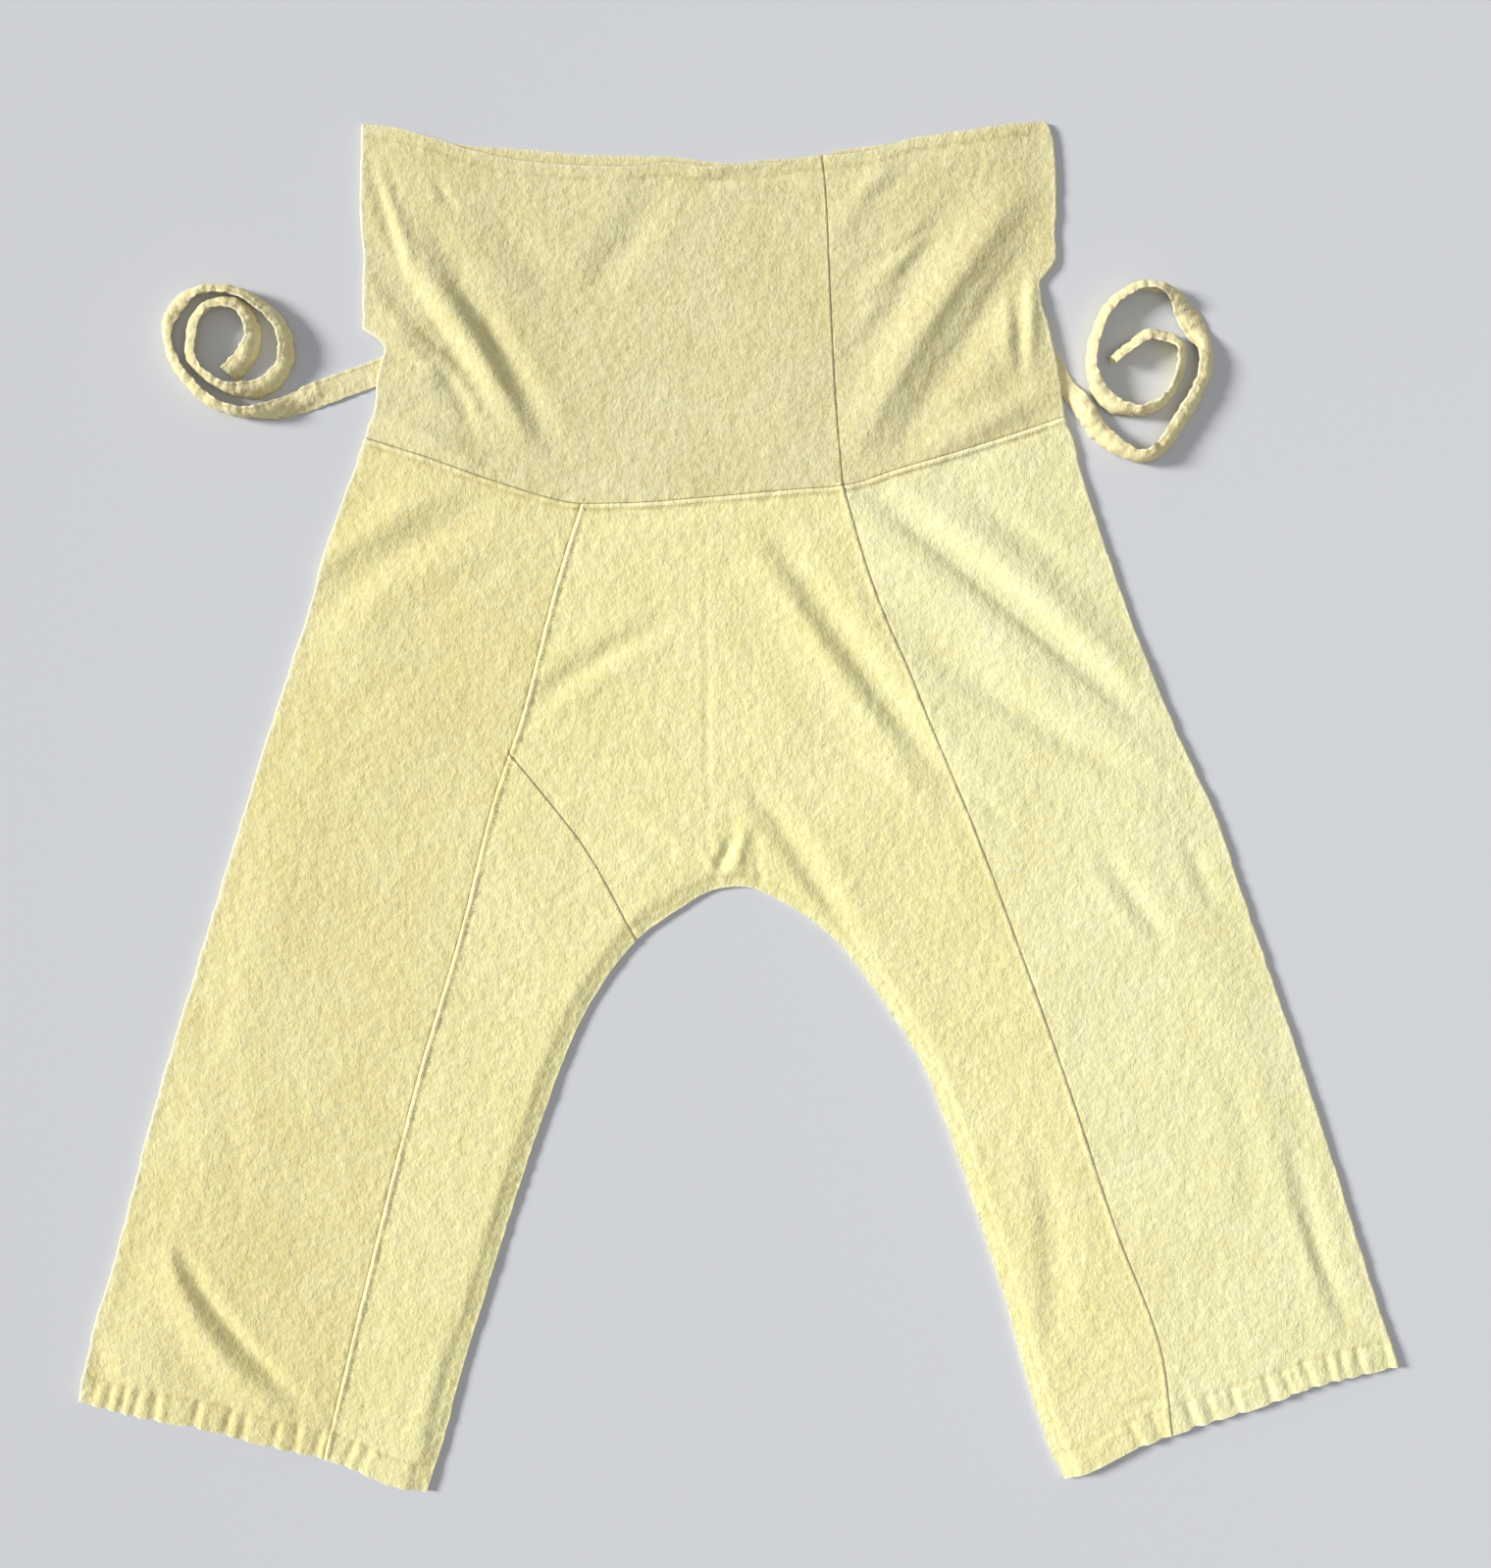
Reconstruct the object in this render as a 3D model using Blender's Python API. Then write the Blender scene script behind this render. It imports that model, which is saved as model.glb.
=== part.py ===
"""Drop crotch pants laid flat on a surface: tall waistband, two ties, low arched crotch, tapered seams.

X runs across the garment, Y runs up it from the hems to the waist and Z stands off the surface.
The tables are in millimetres, measured from the middle of the laid-out garment. Each leg's outer
panel and the waistband wrap round a side fold, so each is one wall with a front layer, a folded
side and a back layer. The two centre panels run from the waistband through the crotch and down one
inner leg each, the front one down the leg at +X and the back one down the leg at -X.
"""

import math

import bpy
import numpy as np
from mathutils import Vector
from mathutils.geometry import delaunay_2d_cdt

MM = 0.001

WALL = 1.2              # thickness of the cloth
GAP = 0.3               # between pieces at a seam, and between the two layers where they touch
EDGE_RISE = 1.1         # how much softer a side fold is than a pressed one
BODY_RISE = 2.1         # further rise of the front layer away from the folds
FOLD_SOFT = 55.0        # distance over which it rises
SEWN_SOFT = 16.0        # distance over which it comes down to the inner leg seams
FOLD_INSET = 1.95       # from the outline to where a side fold starts to turn
FOLD_ANGLES = (45.0, 0.0, -45.0)

FRONT_STEP = 33.0       # spacing of the mesh on the front, the back and the edges
BACK_STEP = 50.0
EDGE_STEP = 27.0

TIE_WIDTH = 20.0
TIE_WALL = 1.6
TIE_CURL = math.radians(75)     # half the arc that a gathered tie curls through
TIE_ROLL = math.radians(84)     # how far it turns on to its edge where it shows narrowest
TIE_STEP = 10.5
ROOT_LIFT = 2.0                 # how far the band stands up where it covers a tie's sewn end
ROOT_NEAR, ROOT_FAR = 15.0, 42.0

# Outline, from the waist down to the hem: how far out each side reaches.
LEFT_SIDE = {
    "up": (540, 517, 463, 431, 398, 376, 371, 366, 360, 337, 310, 300, 290, 263, 237, 202,
           156, 102, 48, -13, -83, -152, -221, -290, -360, -429, -466),
    "out": (-296, -297, -297.5, -295.4, -295.3, -295.4, -289.5, -282, -278.6, -283.5, -286.9,
            -291, -294.4, -303, -312.3, -324.1, -337.7, -354.6, -372.6, -391.5, -412.7, -433.8,
            -454.6, -473.1, -491.5, -511.5, -518.5),
}
RIGHT_SIDE = {
    "up": (540, 531, 517, 494, 431, 420, 410, 398, 383, 367, 337, 310, 300, 290, 263, 237, 202,
           156, 102, 48, -13, -83, -152, -221, -290, -360, -439),
    "out": (240, 245.8, 248.6, 250, 249.9, 243.8, 236.9, 237.7, 241.7, 245.7, 251.9, 255.4, 257.7,
            263.1, 269.2, 277.6, 289.2, 305.4, 326.2, 349.5, 377.7, 400.8, 425.4, 448.5, 470.8,
            492.7, 518.5),
}
# Upper edge of the waistband. The back stands a little above the front, which sags.
FRONT_TOP = {
    "across": (-297, -271, -241, -210, -171, -123, -87, -56, -25, 28, 52, 82, 105, 136, 175, 213, 243),
    "up": (536, 532.3, 524, 514.4, 505.8, 501.8, 500.8, 504.3, 501.3, 504.3, 509, 511, 514.2,
           523.7, 529.3, 535, 538.1),
}
BACK_TOP = {
    "across": (-297, -271, -241, -210, -171, -123, -56, -2, 28, 52, 82, 105, 136, 175, 213, 243),
    "up": (536, 532.3, 524.3, 519.3, 516.7, 512.4, 510.6, 505.4, 508.7, 509.4, 516.1, 519.1,
           523.7, 529.3, 535, 538.1),
}
# Seam between the waistband and the panels below it.
WAIST_SEAM = {
    "across": (-296, -246, -201, -171, -148, -123, -87, -14, 47, 82, 126, 171, 217, 252, 262),
    "up": (290.5, 274.5, 258.5, 248.8, 242, 237.5, 238, 243.5, 248.8, 251.5, 265, 278, 292.7, 304.6, 307),
}
BAND_SEAM = {"up": (512, 480, 380, 310, 252), "across": (65.4, 68.5, 73, 76.9, 81.9)}
# Seams down the front of each leg. The back has the same two, the other way round.
LEFT_LEG_SEAM = {
    "up": (240, 210, 158, 76, 2, -94, -214, -352, -510),
    "across": (-122.5, -132.5, -147.7, -168.5, -193, -217, -252, -287, -325),
}
RIGHT_LEG_SEAM = {
    "up": (252, 228, 194, 152, 110, 66, -7, -86, -210, -329, -435, -492),
    "across": (82, 89, 98.8, 113.8, 132.3, 150, 180.8, 211, 255.4, 295, 333, 340),
}
DIAGONAL_TOP = 42.0     # where the diagonal seam leaves the leg seam
DIAGONAL = {"across": (-151.5, -117.7), "up": (8, -36.5)}
# Inner edge of both legs from the left hem, over the crotch, to the right hem.
INNER_EDGE = {
    "across": (-245, -232, -220, -199, -177, -154, -137, -115, -80, -43, -24, -6, 13, 48, 77, 112,
               142, 161, 185, 208, 227, 242, 255),
    "up": (-538, -498, -452, -383, -313, -244, -198, -152, -105, -78, -67, -63, -65, -83, -106,
           -152, -198, -244, -313, -383, -452, -498, -527),
}
LEFT_DIAGONAL_ROW, RIGHT_DIAGONAL_ROW = 8, 14     # rows of INNER_EDGE where a diagonal seam ends
LEFT_HEM = {
    "across": (-518.5, -499, -462, -425, -388, -352, -325, -296, -272, -245),
    "up": (-466, -472, -480.4, -486.5, -496.5, -505, -511, -522, -532, -538),
}
RIGHT_HEM = {
    "across": (255, 273, 310, 340, 375, 413, 452, 486, 518.5),
    "up": (-527, -522, -503.5, -492.5, -480.8, -469, -454.2, -446, -439),
}

# The creases of the front layer: a bowed line, how wide its -X and +X flanks are, and its height
# (troughs below zero).
CREASE_COLUMNS = (
    "from_x", "from_y", "mid_x", "mid_y", "to_x", "to_y", "minus_flank", "plus_flank", "height"
)
WAISTBAND_CREASES = (
    (-272, 464, -222, 390, -163, 280, 15, 9, 4.6),
    (-289, 442, -236, 370, -190, 296, 11, 8, -3.2),
    (-254, 436, -197, 372, -138, 264, 7, 9, -2.0),
    (-287, 386, -228, 345, -196, 288, 8, 7, 2.6),
    (-264, 368, -228, 336, -204, 286, 5, 5, -1.6),
    (-300, 377, -272, 366, -242, 350, 6, 6, 2.6),
    (-292, 362, -268, 354, -242, 343, 4, 4, -2.2),
    (-291, 507, -274, 455, -261, 410, 4, 4, -1.4),
    (-284, 502, -266, 455, -253, 410, 5, 5, 1.2),
    (-202, 480, -166, 430, -126, 394, 14, 14, -1.8),
    (-60, 492, -88, 440, -124, 400, 12, 12, -1.8),
    (-292, 303, -244, 290, -198, 269, 8, 8, 2.4),
    (-32, 486, 8, 495, 54, 488, 5, 5, -2.2),
    (234, 494, 160, 396, 90, 274, 18, 9, 4.8),
    (248, 464, 184, 374, 116, 266, 7, 15, -3.2),
    (148, 468, 122, 418, 86, 362, 12, 7, 1.8),
    (124, 513, 100, 480, 70, 442, 9, 7, 1.4),
    (221, 420, 219, 378, 222, 334, 5, 5, -2.0),
    (229, 422, 228, 385, 231, 348, 4, 6, 1.6),
    (248, 331, 200, 303, 138, 274, 9, 9, 2.4),
)
LEG_CREASES = (
    (92, 248, 176, 190, 322, 62, 6, 12, -3.6),        # leg at +X
    (78, 234, 160, 170, 292, 58, 22, 9, 2.6),
    (118, 256, 200, 196, 332, 82, 9, 16, 2.2),
    (143, 126, 235, 66, 340, 12, 8, 12, -2.6),
    (18, 226, 96, 112, 177, 0, 8, 12, -3.0),
    (2, 216, 80, 102, 160, -8, 16, 8, 1.8),
    (0, 26, 45, -34, 108, -138, 7, 10, -2.4),
    (282, -34, 312, -74, 338, -112, 7, 8, -1.8),
    (349, -24, 362, -50, 374, -82, 6, 6, -1.3),
    (184, 233, 224, 212, 262, 182, 8, 8, -1.4),
    (229, -256, 244, -330, 246, -428, 8, 12, -1.4),
    (433, -260, 447, -324, 480, -416, 6, 8, -2.0),
    (-348, 136, -292, 186, -193, 237, 14, 14, -2.4),  # leg at -X
    (-352, 154, -300, 206, -203, 253, 12, 12, 1.4),
    (-170, 66, -128, 104, -52, 147, 8, 8, -2.0),
    (-166, 51, -108, 38, -48, 36, 6, 6, -1.4),
    (-132, -6, -92, -14, -44, -42, 8, 8, -1.3),
    (-448, -344, -416, -412, -350, -480, 15, 5, 3.4),
    (-441, -338, -406, -400, -340, -470, 4, 7, -2.0),
    (-507, -418, -502, -436, -493, -454, 8, 8, -1.6),
    (0, -20, -12, -40, -18, -61, 4, 4, -2.0),         # crotch
    (9, -8, 2, -30, -4, -63, 5, 5, 1.6),
)
CREASES = WAISTBAND_CREASES + LEG_CREASES
# Where the hem's stitching draws the front layer in.
HEM_HEIGHT = 23.0
PUCKER_DEPTH, PUCKER_HALF = 1.8, 4.0
LEFT_PUCKERS = (-506, -495, -485, -470, -457, -442, -426, -402, -388, -363, -347, -328, -310, -294,
                -266, -255)
RIGHT_PUCKERS = (275, 294, 315, 332, 345, 357, 370, 382, 407, 424, 437, 451, 464, 474, 485, 498)

# Route of each tie from its sewn end. "shown" is its width seen from above and "stood" says how
# much it is gathered on to its edge.
TIE_COLUMNS = ("across", "up", "shown", "stood")
LEFT_TIE = (
    (-256, 352, 20, 0), (-270, 347, 20, 0), (-284, 341, 20, 0), (-304, 334, 20, 0),
    (-325, 326, 20, 0), (-345, 318, 19, 0.5), (-361, 312, 14, 1), (-378, 308, 8, 1),
    (-392, 309, 7, 1), (-408, 314, 8, 1), (-421, 323, 9, 1), (-432, 335, 9, 1),
    (-441, 349, 9, 1), (-446, 367, 9, 1), (-444, 383, 13, 1), (-435, 396, 13, 1),
    (-422, 403, 9, 1), (-407, 405, 8, 1), (-391, 402, 8, 1), (-376, 394, 9, 1),
    (-364, 384, 9.5, 1), (-356, 372, 10, 1), (-353, 359, 10.5, 1), (-355, 346, 11, 1),
    (-363, 336, 13, 1), (-373, 329, 13, 1), (-384, 326, 12, 1), (-398, 327, 8, 1),
    (-411, 333, 7, 1), (-423, 343, 8, 1), (-428, 353, 10, 1), (-428, 366, 10, 1),
    (-425, 379, 10, 1), (-418, 389, 9, 1), (-408, 393.5, 9, 1), (-396, 394, 10, 1),
    (-387, 389, 10, 1), (-381, 379, 10, 1), (-380, 367, 11, 1), (-386, 354, 14, 1),
    (-399, 338.5, 15, 0.6),
)
RIGHT_TIE = (
    (232, 372, 15, 0), (238, 361, 15, 0), (244, 351, 15, 0), (251, 340, 14, 0),
    (259, 328, 13, 0), (268, 315, 15, 0.5), (277, 302, 15, 1), (286, 291, 14, 1),
    (296, 282, 11, 1), (308, 275, 9, 1), (319, 274, 9, 1), (330, 281, 11, 1),
    (339, 293, 12, 1), (349, 309, 12, 1), (360, 328, 11.5, 1), (365, 343, 12, 1),
    (365, 358, 13, 1), (362, 368, 17, 0.8), (356, 379, 19, 0.4), (349, 390, 17, 0.8),
    (341, 400, 12, 1), (331, 406, 8, 1), (319, 408, 8, 1), (306, 404, 8, 1),
    (295, 397, 8, 1), (287, 387, 8, 1), (280, 374, 7, 1), (276, 358, 6.5, 1),
    (275, 344, 7, 1), (278, 333, 9, 1), (285, 322, 11.5, 1), (294, 313, 11, 1),
    (306, 310, 8, 1), (318, 310, 7, 1), (331, 317, 6.5, 1), (340, 328, 7, 1),
    (345, 342, 8.5, 1), (346, 354, 9, 1), (342, 363, 9, 1), (331, 368, 10, 1),
    (320, 369, 10, 1), (308, 361, 8, 1), (292, 349, 8, 1),
)

# Base colour and roughness of each piece's cotton.
COTTON = {
    "waistband": ((0.68, 0.64, 0.36), 0.88),
    "left_outer_leg": ((0.76, 0.70, 0.36), 0.88),
    "right_outer_leg": ((0.82, 0.80, 0.47), 0.88),
    "front_centre_panel": ((0.84, 0.78, 0.42), 0.88),
    "front_left_inner_leg": ((0.80, 0.74, 0.39), 0.88),
    "back_centre_panel": ((0.74, 0.69, 0.36), 0.88),
    "back_right_inner_leg": ((0.74, 0.69, 0.36), 0.88),
    "left_tie": ((0.80, 0.76, 0.50), 0.85),
    "right_tie": ((0.80, 0.76, 0.50), 0.85),
}


# Reading the tables


def ease(x):
    x = np.clip(x, 0.0, 1.0)
    return x * x * (3 - 2 * x)


def read(stations, values, at):
    """Values between a table's rows, smooth and with no overshoot."""
    x, y = np.array(stations, float), np.array(values, float)
    order = np.argsort(x)
    x, y = x[order], y[order]
    at = np.clip(at, x[0], x[-1])
    step, rise = np.diff(x), np.diff(y)
    grade = rise / step
    slope = np.concatenate([grade[:1], np.zeros(len(x) - 2), grade[-1:]])
    before, after = grade[:-1], grade[1:]
    same = before * after > 0
    slope[1:-1][same] = 2 * (before * after)[same] / (before + after)[same]
    i = np.clip(np.searchsorted(x, at, side="right") - 1, 0, len(x) - 2)
    h = step[i]
    t = (at - x[i]) / h
    return (
        y[i] * (1 + 2 * t) * (1 - t) ** 2
        + slope[i] * h * t * (1 - t) ** 2
        + y[i + 1] * t * t * (3 - 2 * t)
        + slope[i + 1] * h * t * t * (t - 1)
    )


def smooth_rows(rows, spacing):
    """Points on a smooth curve through every row, and where each row is among them."""
    rows = np.array(rows, float)
    lengths = np.linalg.norm(np.diff(rows[:, :2], axis=0), axis=1)
    at = np.concatenate([[0], np.cumsum(lengths)])
    slope = np.empty_like(rows)
    slope[1:-1] = (rows[2:] - rows[:-2]) / (at[2:] - at[:-2])[:, None]
    slope[0], slope[-1] = (rows[1] - rows[0]) / lengths[0], (rows[-1] - rows[-2]) / lengths[-1]
    points, kept = [], []
    for i, length in enumerate(lengths):
        kept.append(len(points))
        for t in np.arange(max(1, round(length / spacing))) / max(1, round(length / spacing)):
            points.append(
                rows[i] * (1 + 2 * t) * (1 - t) ** 2
                + slope[i] * length * t * (1 - t) ** 2
                + rows[i + 1] * t * t * (3 - 2 * t)
                + slope[i + 1] * length * t * t * (t - 1)
            )
    kept.append(len(points))
    points.append(rows[-1])
    return np.array(points), kept


def fold_line(side, up):
    """Where the left (-1) or right (+1) side fold starts to turn."""
    table = LEFT_SIDE if side < 0 else RIGHT_SIDE
    return read(table["up"], table["out"], up) - side * FOLD_INSET


def waist_up(across):
    return read(WAIST_SEAM["across"], WAIST_SEAM["up"], across)


def hem_up(across):
    table = LEFT_HEM if np.mean(across) < 0 else RIGHT_HEM
    return read(table["across"], table["up"], across)


def left_seam(up):
    return read(LEFT_LEG_SEAM["up"], LEFT_LEG_SEAM["across"], up)


def right_seam(up):
    return read(RIGHT_LEG_SEAM["up"], RIGHT_LEG_SEAM["across"], up)


def mirrored(seam):
    """The same seam on the back: as far from the other side fold."""
    return lambda up: fold_line(-1, up) + fold_line(1, up) - seam(up)


def meet(line, curve, up):
    """How far up the line x = line(up) crosses up = curve(x)."""
    for _ in range(60):
        up = 0.5 * (up + float(curve(line(up))))
    return up


def run(line, top, bottom, extra=()):
    """Points down x = line(up), which neighbouring pieces share."""
    n = max(2, round((top - bottom) / EDGE_STEP))
    ups = np.linspace(top, bottom, n + 1)
    ups = ups[[i for i, u in enumerate(ups) if i in (0, n) or all(abs(u - e) > 8 for e in extra)]]
    ups = np.sort(np.concatenate([ups, np.array(extra, float)]))[::-1]
    return np.column_stack([line(ups), ups])


def spread(curve, start, end, extra=()):
    """Points along up = curve(x), from start to end."""
    n = max(1, round(abs(end - start) / EDGE_STEP))
    xs = np.linspace(start, end, n + 1)
    xs = xs[[i for i, x in enumerate(xs) if i in (0, n) or all(abs(x - e) > 8 for e in extra)]]
    xs = np.sort(np.concatenate([xs, np.array(extra, float)]))
    xs = xs if end > start else xs[::-1]
    return np.column_stack([xs, curve(xs)])


INNER, INNER_ROWS = smooth_rows(list(zip(INNER_EDGE["across"], INNER_EDGE["up"])), EDGE_STEP)


def inner(first_row, last_row):
    a, b = INNER_ROWS[first_row], INNER_ROWS[last_row]
    return INNER[a:b + 1] if b > a else INNER[b:a + 1][::-1]


# Height of the cloth


def to_line(points, line):
    """Each point's distance to a chain of points, how far along the chain (0 to 1), and its side.

    The side runs from -1, straight towards -X of the chain, to 1, straight towards +X of it.
    """
    best, along, side = np.full(len(points), 1e9), np.zeros(len(points)), np.zeros(len(points))
    lengths = np.linalg.norm(np.diff(line, axis=0), axis=1)
    at = np.concatenate([[0], np.cumsum(lengths)])
    for a, b, start, length in zip(line[:-1], line[1:], at, lengths):
        t = np.clip(((points - a) @ (b - a)) / length**2, 0, 1)
        off = points - (a + t[:, None] * (b - a))
        d = np.linalg.norm(off, axis=1)
        near = d < best
        best[near], along[near] = d[near], ((start + t * length) / at[-1])[near]
        side[near] = (off[:, 0] / np.maximum(d, 1e-9))[near]
    return best, along, side


def crease_line(row, n=9):
    """A crease bows through its middle point."""
    c = dict(zip(CREASE_COLUMNS, row))
    a, m, b = (np.array([c[k + "_x"], c[k + "_y"]], float) for k in ("from", "mid", "to"))
    t = np.linspace(0, 1, n)[:, None]
    return a * (1 - t) * (1 - 2 * t) + m * 4 * t * (1 - t) + b * t * (2 * t - 1), c


def roots():
    """The part of each tie that the waistband covers."""
    return [np.array(table[:n], float)[:, :2] for table, n in ((LEFT_TIE, 3), (RIGHT_TIE, 5))]


def lift(points):
    """How far the back layer stands up over the sewn ends of the ties."""
    up = np.zeros(len(points))
    for root in roots():
        d = to_line(points, root)[0]
        up = np.maximum(up, ROOT_LIFT * ease((ROOT_FAR - d) / (ROOT_FAR - ROOT_NEAR)))
    return up


def relief(points):
    """How far the front layer stands off the back one, past the gap between them."""
    x, y = points[:, 0], points[:, 1]
    to_fold = np.maximum(0, np.minimum(x - fold_line(-1, y), fold_line(1, y) - x))
    rise = EDGE_RISE + BODY_RISE * ease(to_fold / FOLD_SOFT)
    for row in CREASES:
        line, c = crease_line(row)
        d, along, side = to_line(points, line)
        middle, lean = (c["plus_flank"] + c["minus_flank"]) / 2, (c["plus_flank"] - c["minus_flank"]) / 2
        near = d / (middle + lean * side)
        shoulder = 0.3 * np.exp(-((near - 2.0) ** 2))
        rise = rise + c["height"] * np.sin(np.pi * along) ** 0.6 * (np.exp(-near**2) - shoulder)
    for puckers in (LEFT_PUCKERS, RIGHT_PUCKERS):
        band = np.exp(-(((y - hem_line_up(x, puckers) - HEM_HEIGHT) / 15) ** 2))
        for at in puckers:
            rise = rise - PUCKER_DEPTH * band * np.exp(-(((x - at) / PUCKER_HALF) ** 2))
    rise = 0.5 * (rise + np.sqrt(rise**2 + 0.3))
    return rise * ease(to_line(points, INNER)[0] / SEWN_SOFT)


def hem_line_up(x, puckers):
    table = LEFT_HEM if puckers is LEFT_PUCKERS else RIGHT_HEM
    inside = (x > min(table["across"]) - 1) & (x < max(table["across"]) + 1)
    return np.where(inside, read(table["across"], table["up"], x), 1e4)


def back_z(points):
    return WALL / 2 + lift(points)


def front_z(points):
    return back_z(points) + WALL + GAP + relief(points)


# Meshing a wall


def cross(a, b):
    return a[..., 0] * b[..., 1] - a[..., 1] * b[..., 0]


def inside(points, polygon):
    a, b = polygon, np.roll(polygon, -1, axis=0)
    hit = np.zeros(len(points), bool)
    for (ax, ay), (bx, by) in zip(a, b):
        spans = (ay > points[:, 1]) != (by > points[:, 1])
        at = ax + (points[:, 1] - ay) * (bx - ax) / ((by - ay) or 1e-12)
        hit ^= spans & (points[:, 0] < at)
    return hit


def inset(edges):
    """One ring of points from a sheet's edges in order, moved in by each edge's own gap."""
    ring, gaps = [], []
    for points, gap in edges:
        ring += list(points[:-1])
        gaps += [gap] * (len(points) - 1)
    ring, gaps = np.array(ring), np.array(gaps)
    turn = np.sign(cross(ring, np.roll(ring, -1, axis=0)).sum())
    way = np.roll(ring, -1, axis=0) - ring
    way /= np.linalg.norm(way, axis=1)[:, None]
    normal = turn * np.column_stack([-way[:, 1], way[:, 0]])
    moved = []
    for i, point in enumerate(ring):
        n, g = np.array([normal[i - 1], normal[i]]), np.array([gaps[i - 1], gaps[i]])
        if abs(np.linalg.det(n)) < 0.15:
            mean = n.sum(axis=0)
            moved.append(point + mean / np.linalg.norm(mean) * g.max())
        else:
            moved.append(point + np.linalg.solve(n, g))
    return np.array(moved)


def lattice(ring, step):
    """Rows of points in staggered order over the ring's box."""
    low, high = ring.min(axis=0), ring.max(axis=0)
    rows = np.arange(low[1], high[1], step * math.sqrt(3) / 2)
    return np.array([
        (x + (j % 2) * step / 2, y)
        for j, y in enumerate(rows) for x in np.arange(low[0], high[0], step)
    ])


def form_points(front):
    """Points that carry the creases, the hem puckers and the rise over the ties."""
    found = []
    for root in roots():
        line, _ = smooth_rows(root, 14)
        way = np.gradient(line, axis=0)
        across = np.column_stack([-way[:, 1], way[:, 0]]) / np.linalg.norm(way, axis=1)[:, None]
        found += [line + k * across for k in (-14, 0, 14)]
    if front:
        for row in CREASES:
            line, c = crease_line(row, 41)
            n = max(3, round(np.linalg.norm(np.diff(line, axis=0), axis=1).sum() / 24))
            line = line[np.linspace(0, 40, n + 1).astype(int)]
            way = np.gradient(line, axis=0)
            across = np.column_stack([-way[:, 1], way[:, 0]]) / np.linalg.norm(way, axis=1)[:, None]
            across *= np.sign(across[:, :1])
            found += [line, line - 1.3 * c["minus_flank"] * across, line + 1.3 * c["plus_flank"] * across]
        for puckers in (LEFT_PUCKERS, RIGHT_PUCKERS):
            for left, right in zip(puckers, puckers[1:] + (None,)):
                columns = (left,) if right is None else (left, (left + right) / 2)
                for x in columns:
                    base = float(hem_line_up(np.array([x]), puckers)[0])
                    found.append(np.array([(x, base + h) for h in (10, HEM_HEIGHT, 36)]))
    return np.concatenate(found)


def thinned(points, near):
    kept = []
    for point in points:
        if all((point[0] - k[0]) ** 2 + (point[1] - k[1]) ** 2 > near**2 for k in kept):
            kept.append(point)
    return np.array(kept).reshape(-1, 2)


def triangles(ring, step, front):
    """The ring's points with more inside it, and the triangles between them, counter-clockwise."""
    own = form_points(front)
    own = own[inside(own, ring)]
    closed_ring = np.concatenate([ring, ring[:1]])
    own = thinned(own[to_line(own, closed_ring)[0] > 4.5], 5.0)
    grid = lattice(ring, step)
    grid = grid[inside(grid, ring)]
    grid = grid[to_line(grid, closed_ring)[0] > 0.4 * step]
    if len(own):
        far = np.array([((own - p) ** 2).sum(axis=1).min() for p in grid]) > (0.55 * step) ** 2
        grid = grid[far]
    points = np.concatenate([ring, own, grid])
    n = len(ring)
    border = [(i, (i + 1) % n) for i in range(n)]
    out, _, faces, origin, _, _ = delaunay_2d_cdt([Vector(p) for p in points], border, [], 1, 1e-6)
    assert len(out) == len(points), "two mesh points fell together"
    source = [ids[0] for ids in origin]
    faces = np.array([[source[v] for v in face] for face in faces])
    a, b, c = (points[faces[:, k]] for k in range(3))
    flip = cross(b - a, c - a) < 0
    faces[flip] = faces[flip][:, ::-1]
    return points, faces


class Wall:
    """A cloth wall grown from its middle surface: points, the way its outer face lies, triangles."""

    def __init__(self):
        self.points, self.outward, self.faces = [], [], []

    def add(self, points, outward, faces):
        start = len(self.points)
        self.points += [np.array(p, float) for p in points]
        self.outward += [np.array(o, float) for o in outward]
        self.faces += [tuple(int(v) + start for v in face) for face in faces]
        return start

    def sheet(self, edges, front):
        """A flat layer inside its edges. Returns where each edge's points are in the wall."""
        ring = inset(edges)
        points, faces = triangles(ring, FRONT_STEP if front else BACK_STEP, front)
        height = front_z(points) if front else back_z(points)
        up = 1.0 if front else -1.0
        start = self.add(
            np.column_stack([points, height]), [(0, 0, up)] * len(points), faces if front else faces[:, ::-1]
        )
        at, spans = 0, []
        for edge, _ in edges:
            count = len(edge) - 1
            spans.append([start + (at + k) % len(ring) for k in range(count + 1)])
            at += count
        return spans

    def fold(self, front_edge, back_edge, side):
        """The half-round side between two edges that lie one above the other."""
        rows = [front_edge]
        for angle in map(math.radians, FOLD_ANGLES):
            row = []
            for f, b in zip(front_edge, back_edge):
                top, bottom = self.points[f], self.points[b]
                radial = np.array([side * math.cos(angle), 0.0, math.sin(angle)])
                row.append(len(self.points))
                self.points.append((top + bottom) / 2 + (top[2] - bottom[2]) / 2 * radial)
                self.outward.append(radial)
            rows.append(row)
        rows.append(back_edge)
        for upper, lower in zip(rows, rows[1:]):
            for i in range(len(upper) - 1):
                a, b, c, d = upper[i], upper[i + 1], lower[i + 1], lower[i]
                self.faces += [(a, b, c), (a, c, d)] if self.turns_out(a, b, c) else [(a, c, b), (a, d, c)]

    def turns_out(self, a, b, c):
        p, q, r = (self.points[k] for k in (a, b, c))
        return np.dot(np.cross(q - p, r - p), self.outward[a] + self.outward[b] + self.outward[c]) > 0

    def solid(self, name, wall=WALL):
        points, outward = np.array(self.points), np.array(self.outward)
        n = len(points)
        shell = np.concatenate([points + outward * wall / 2, points - outward * wall / 2])
        faces = list(self.faces) + [(a + n, c + n, b + n) for a, b, c in self.faces]
        edges = {}
        for a, b, c in self.faces:
            for edge in ((a, b), (b, c), (c, a)):
                edges[edge] = True
        for a, b in edges:
            if (b, a) not in edges:
                faces += [(b, a, a + n), (b, a + n, b + n)]
        return make(name, shell, faces)


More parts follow.
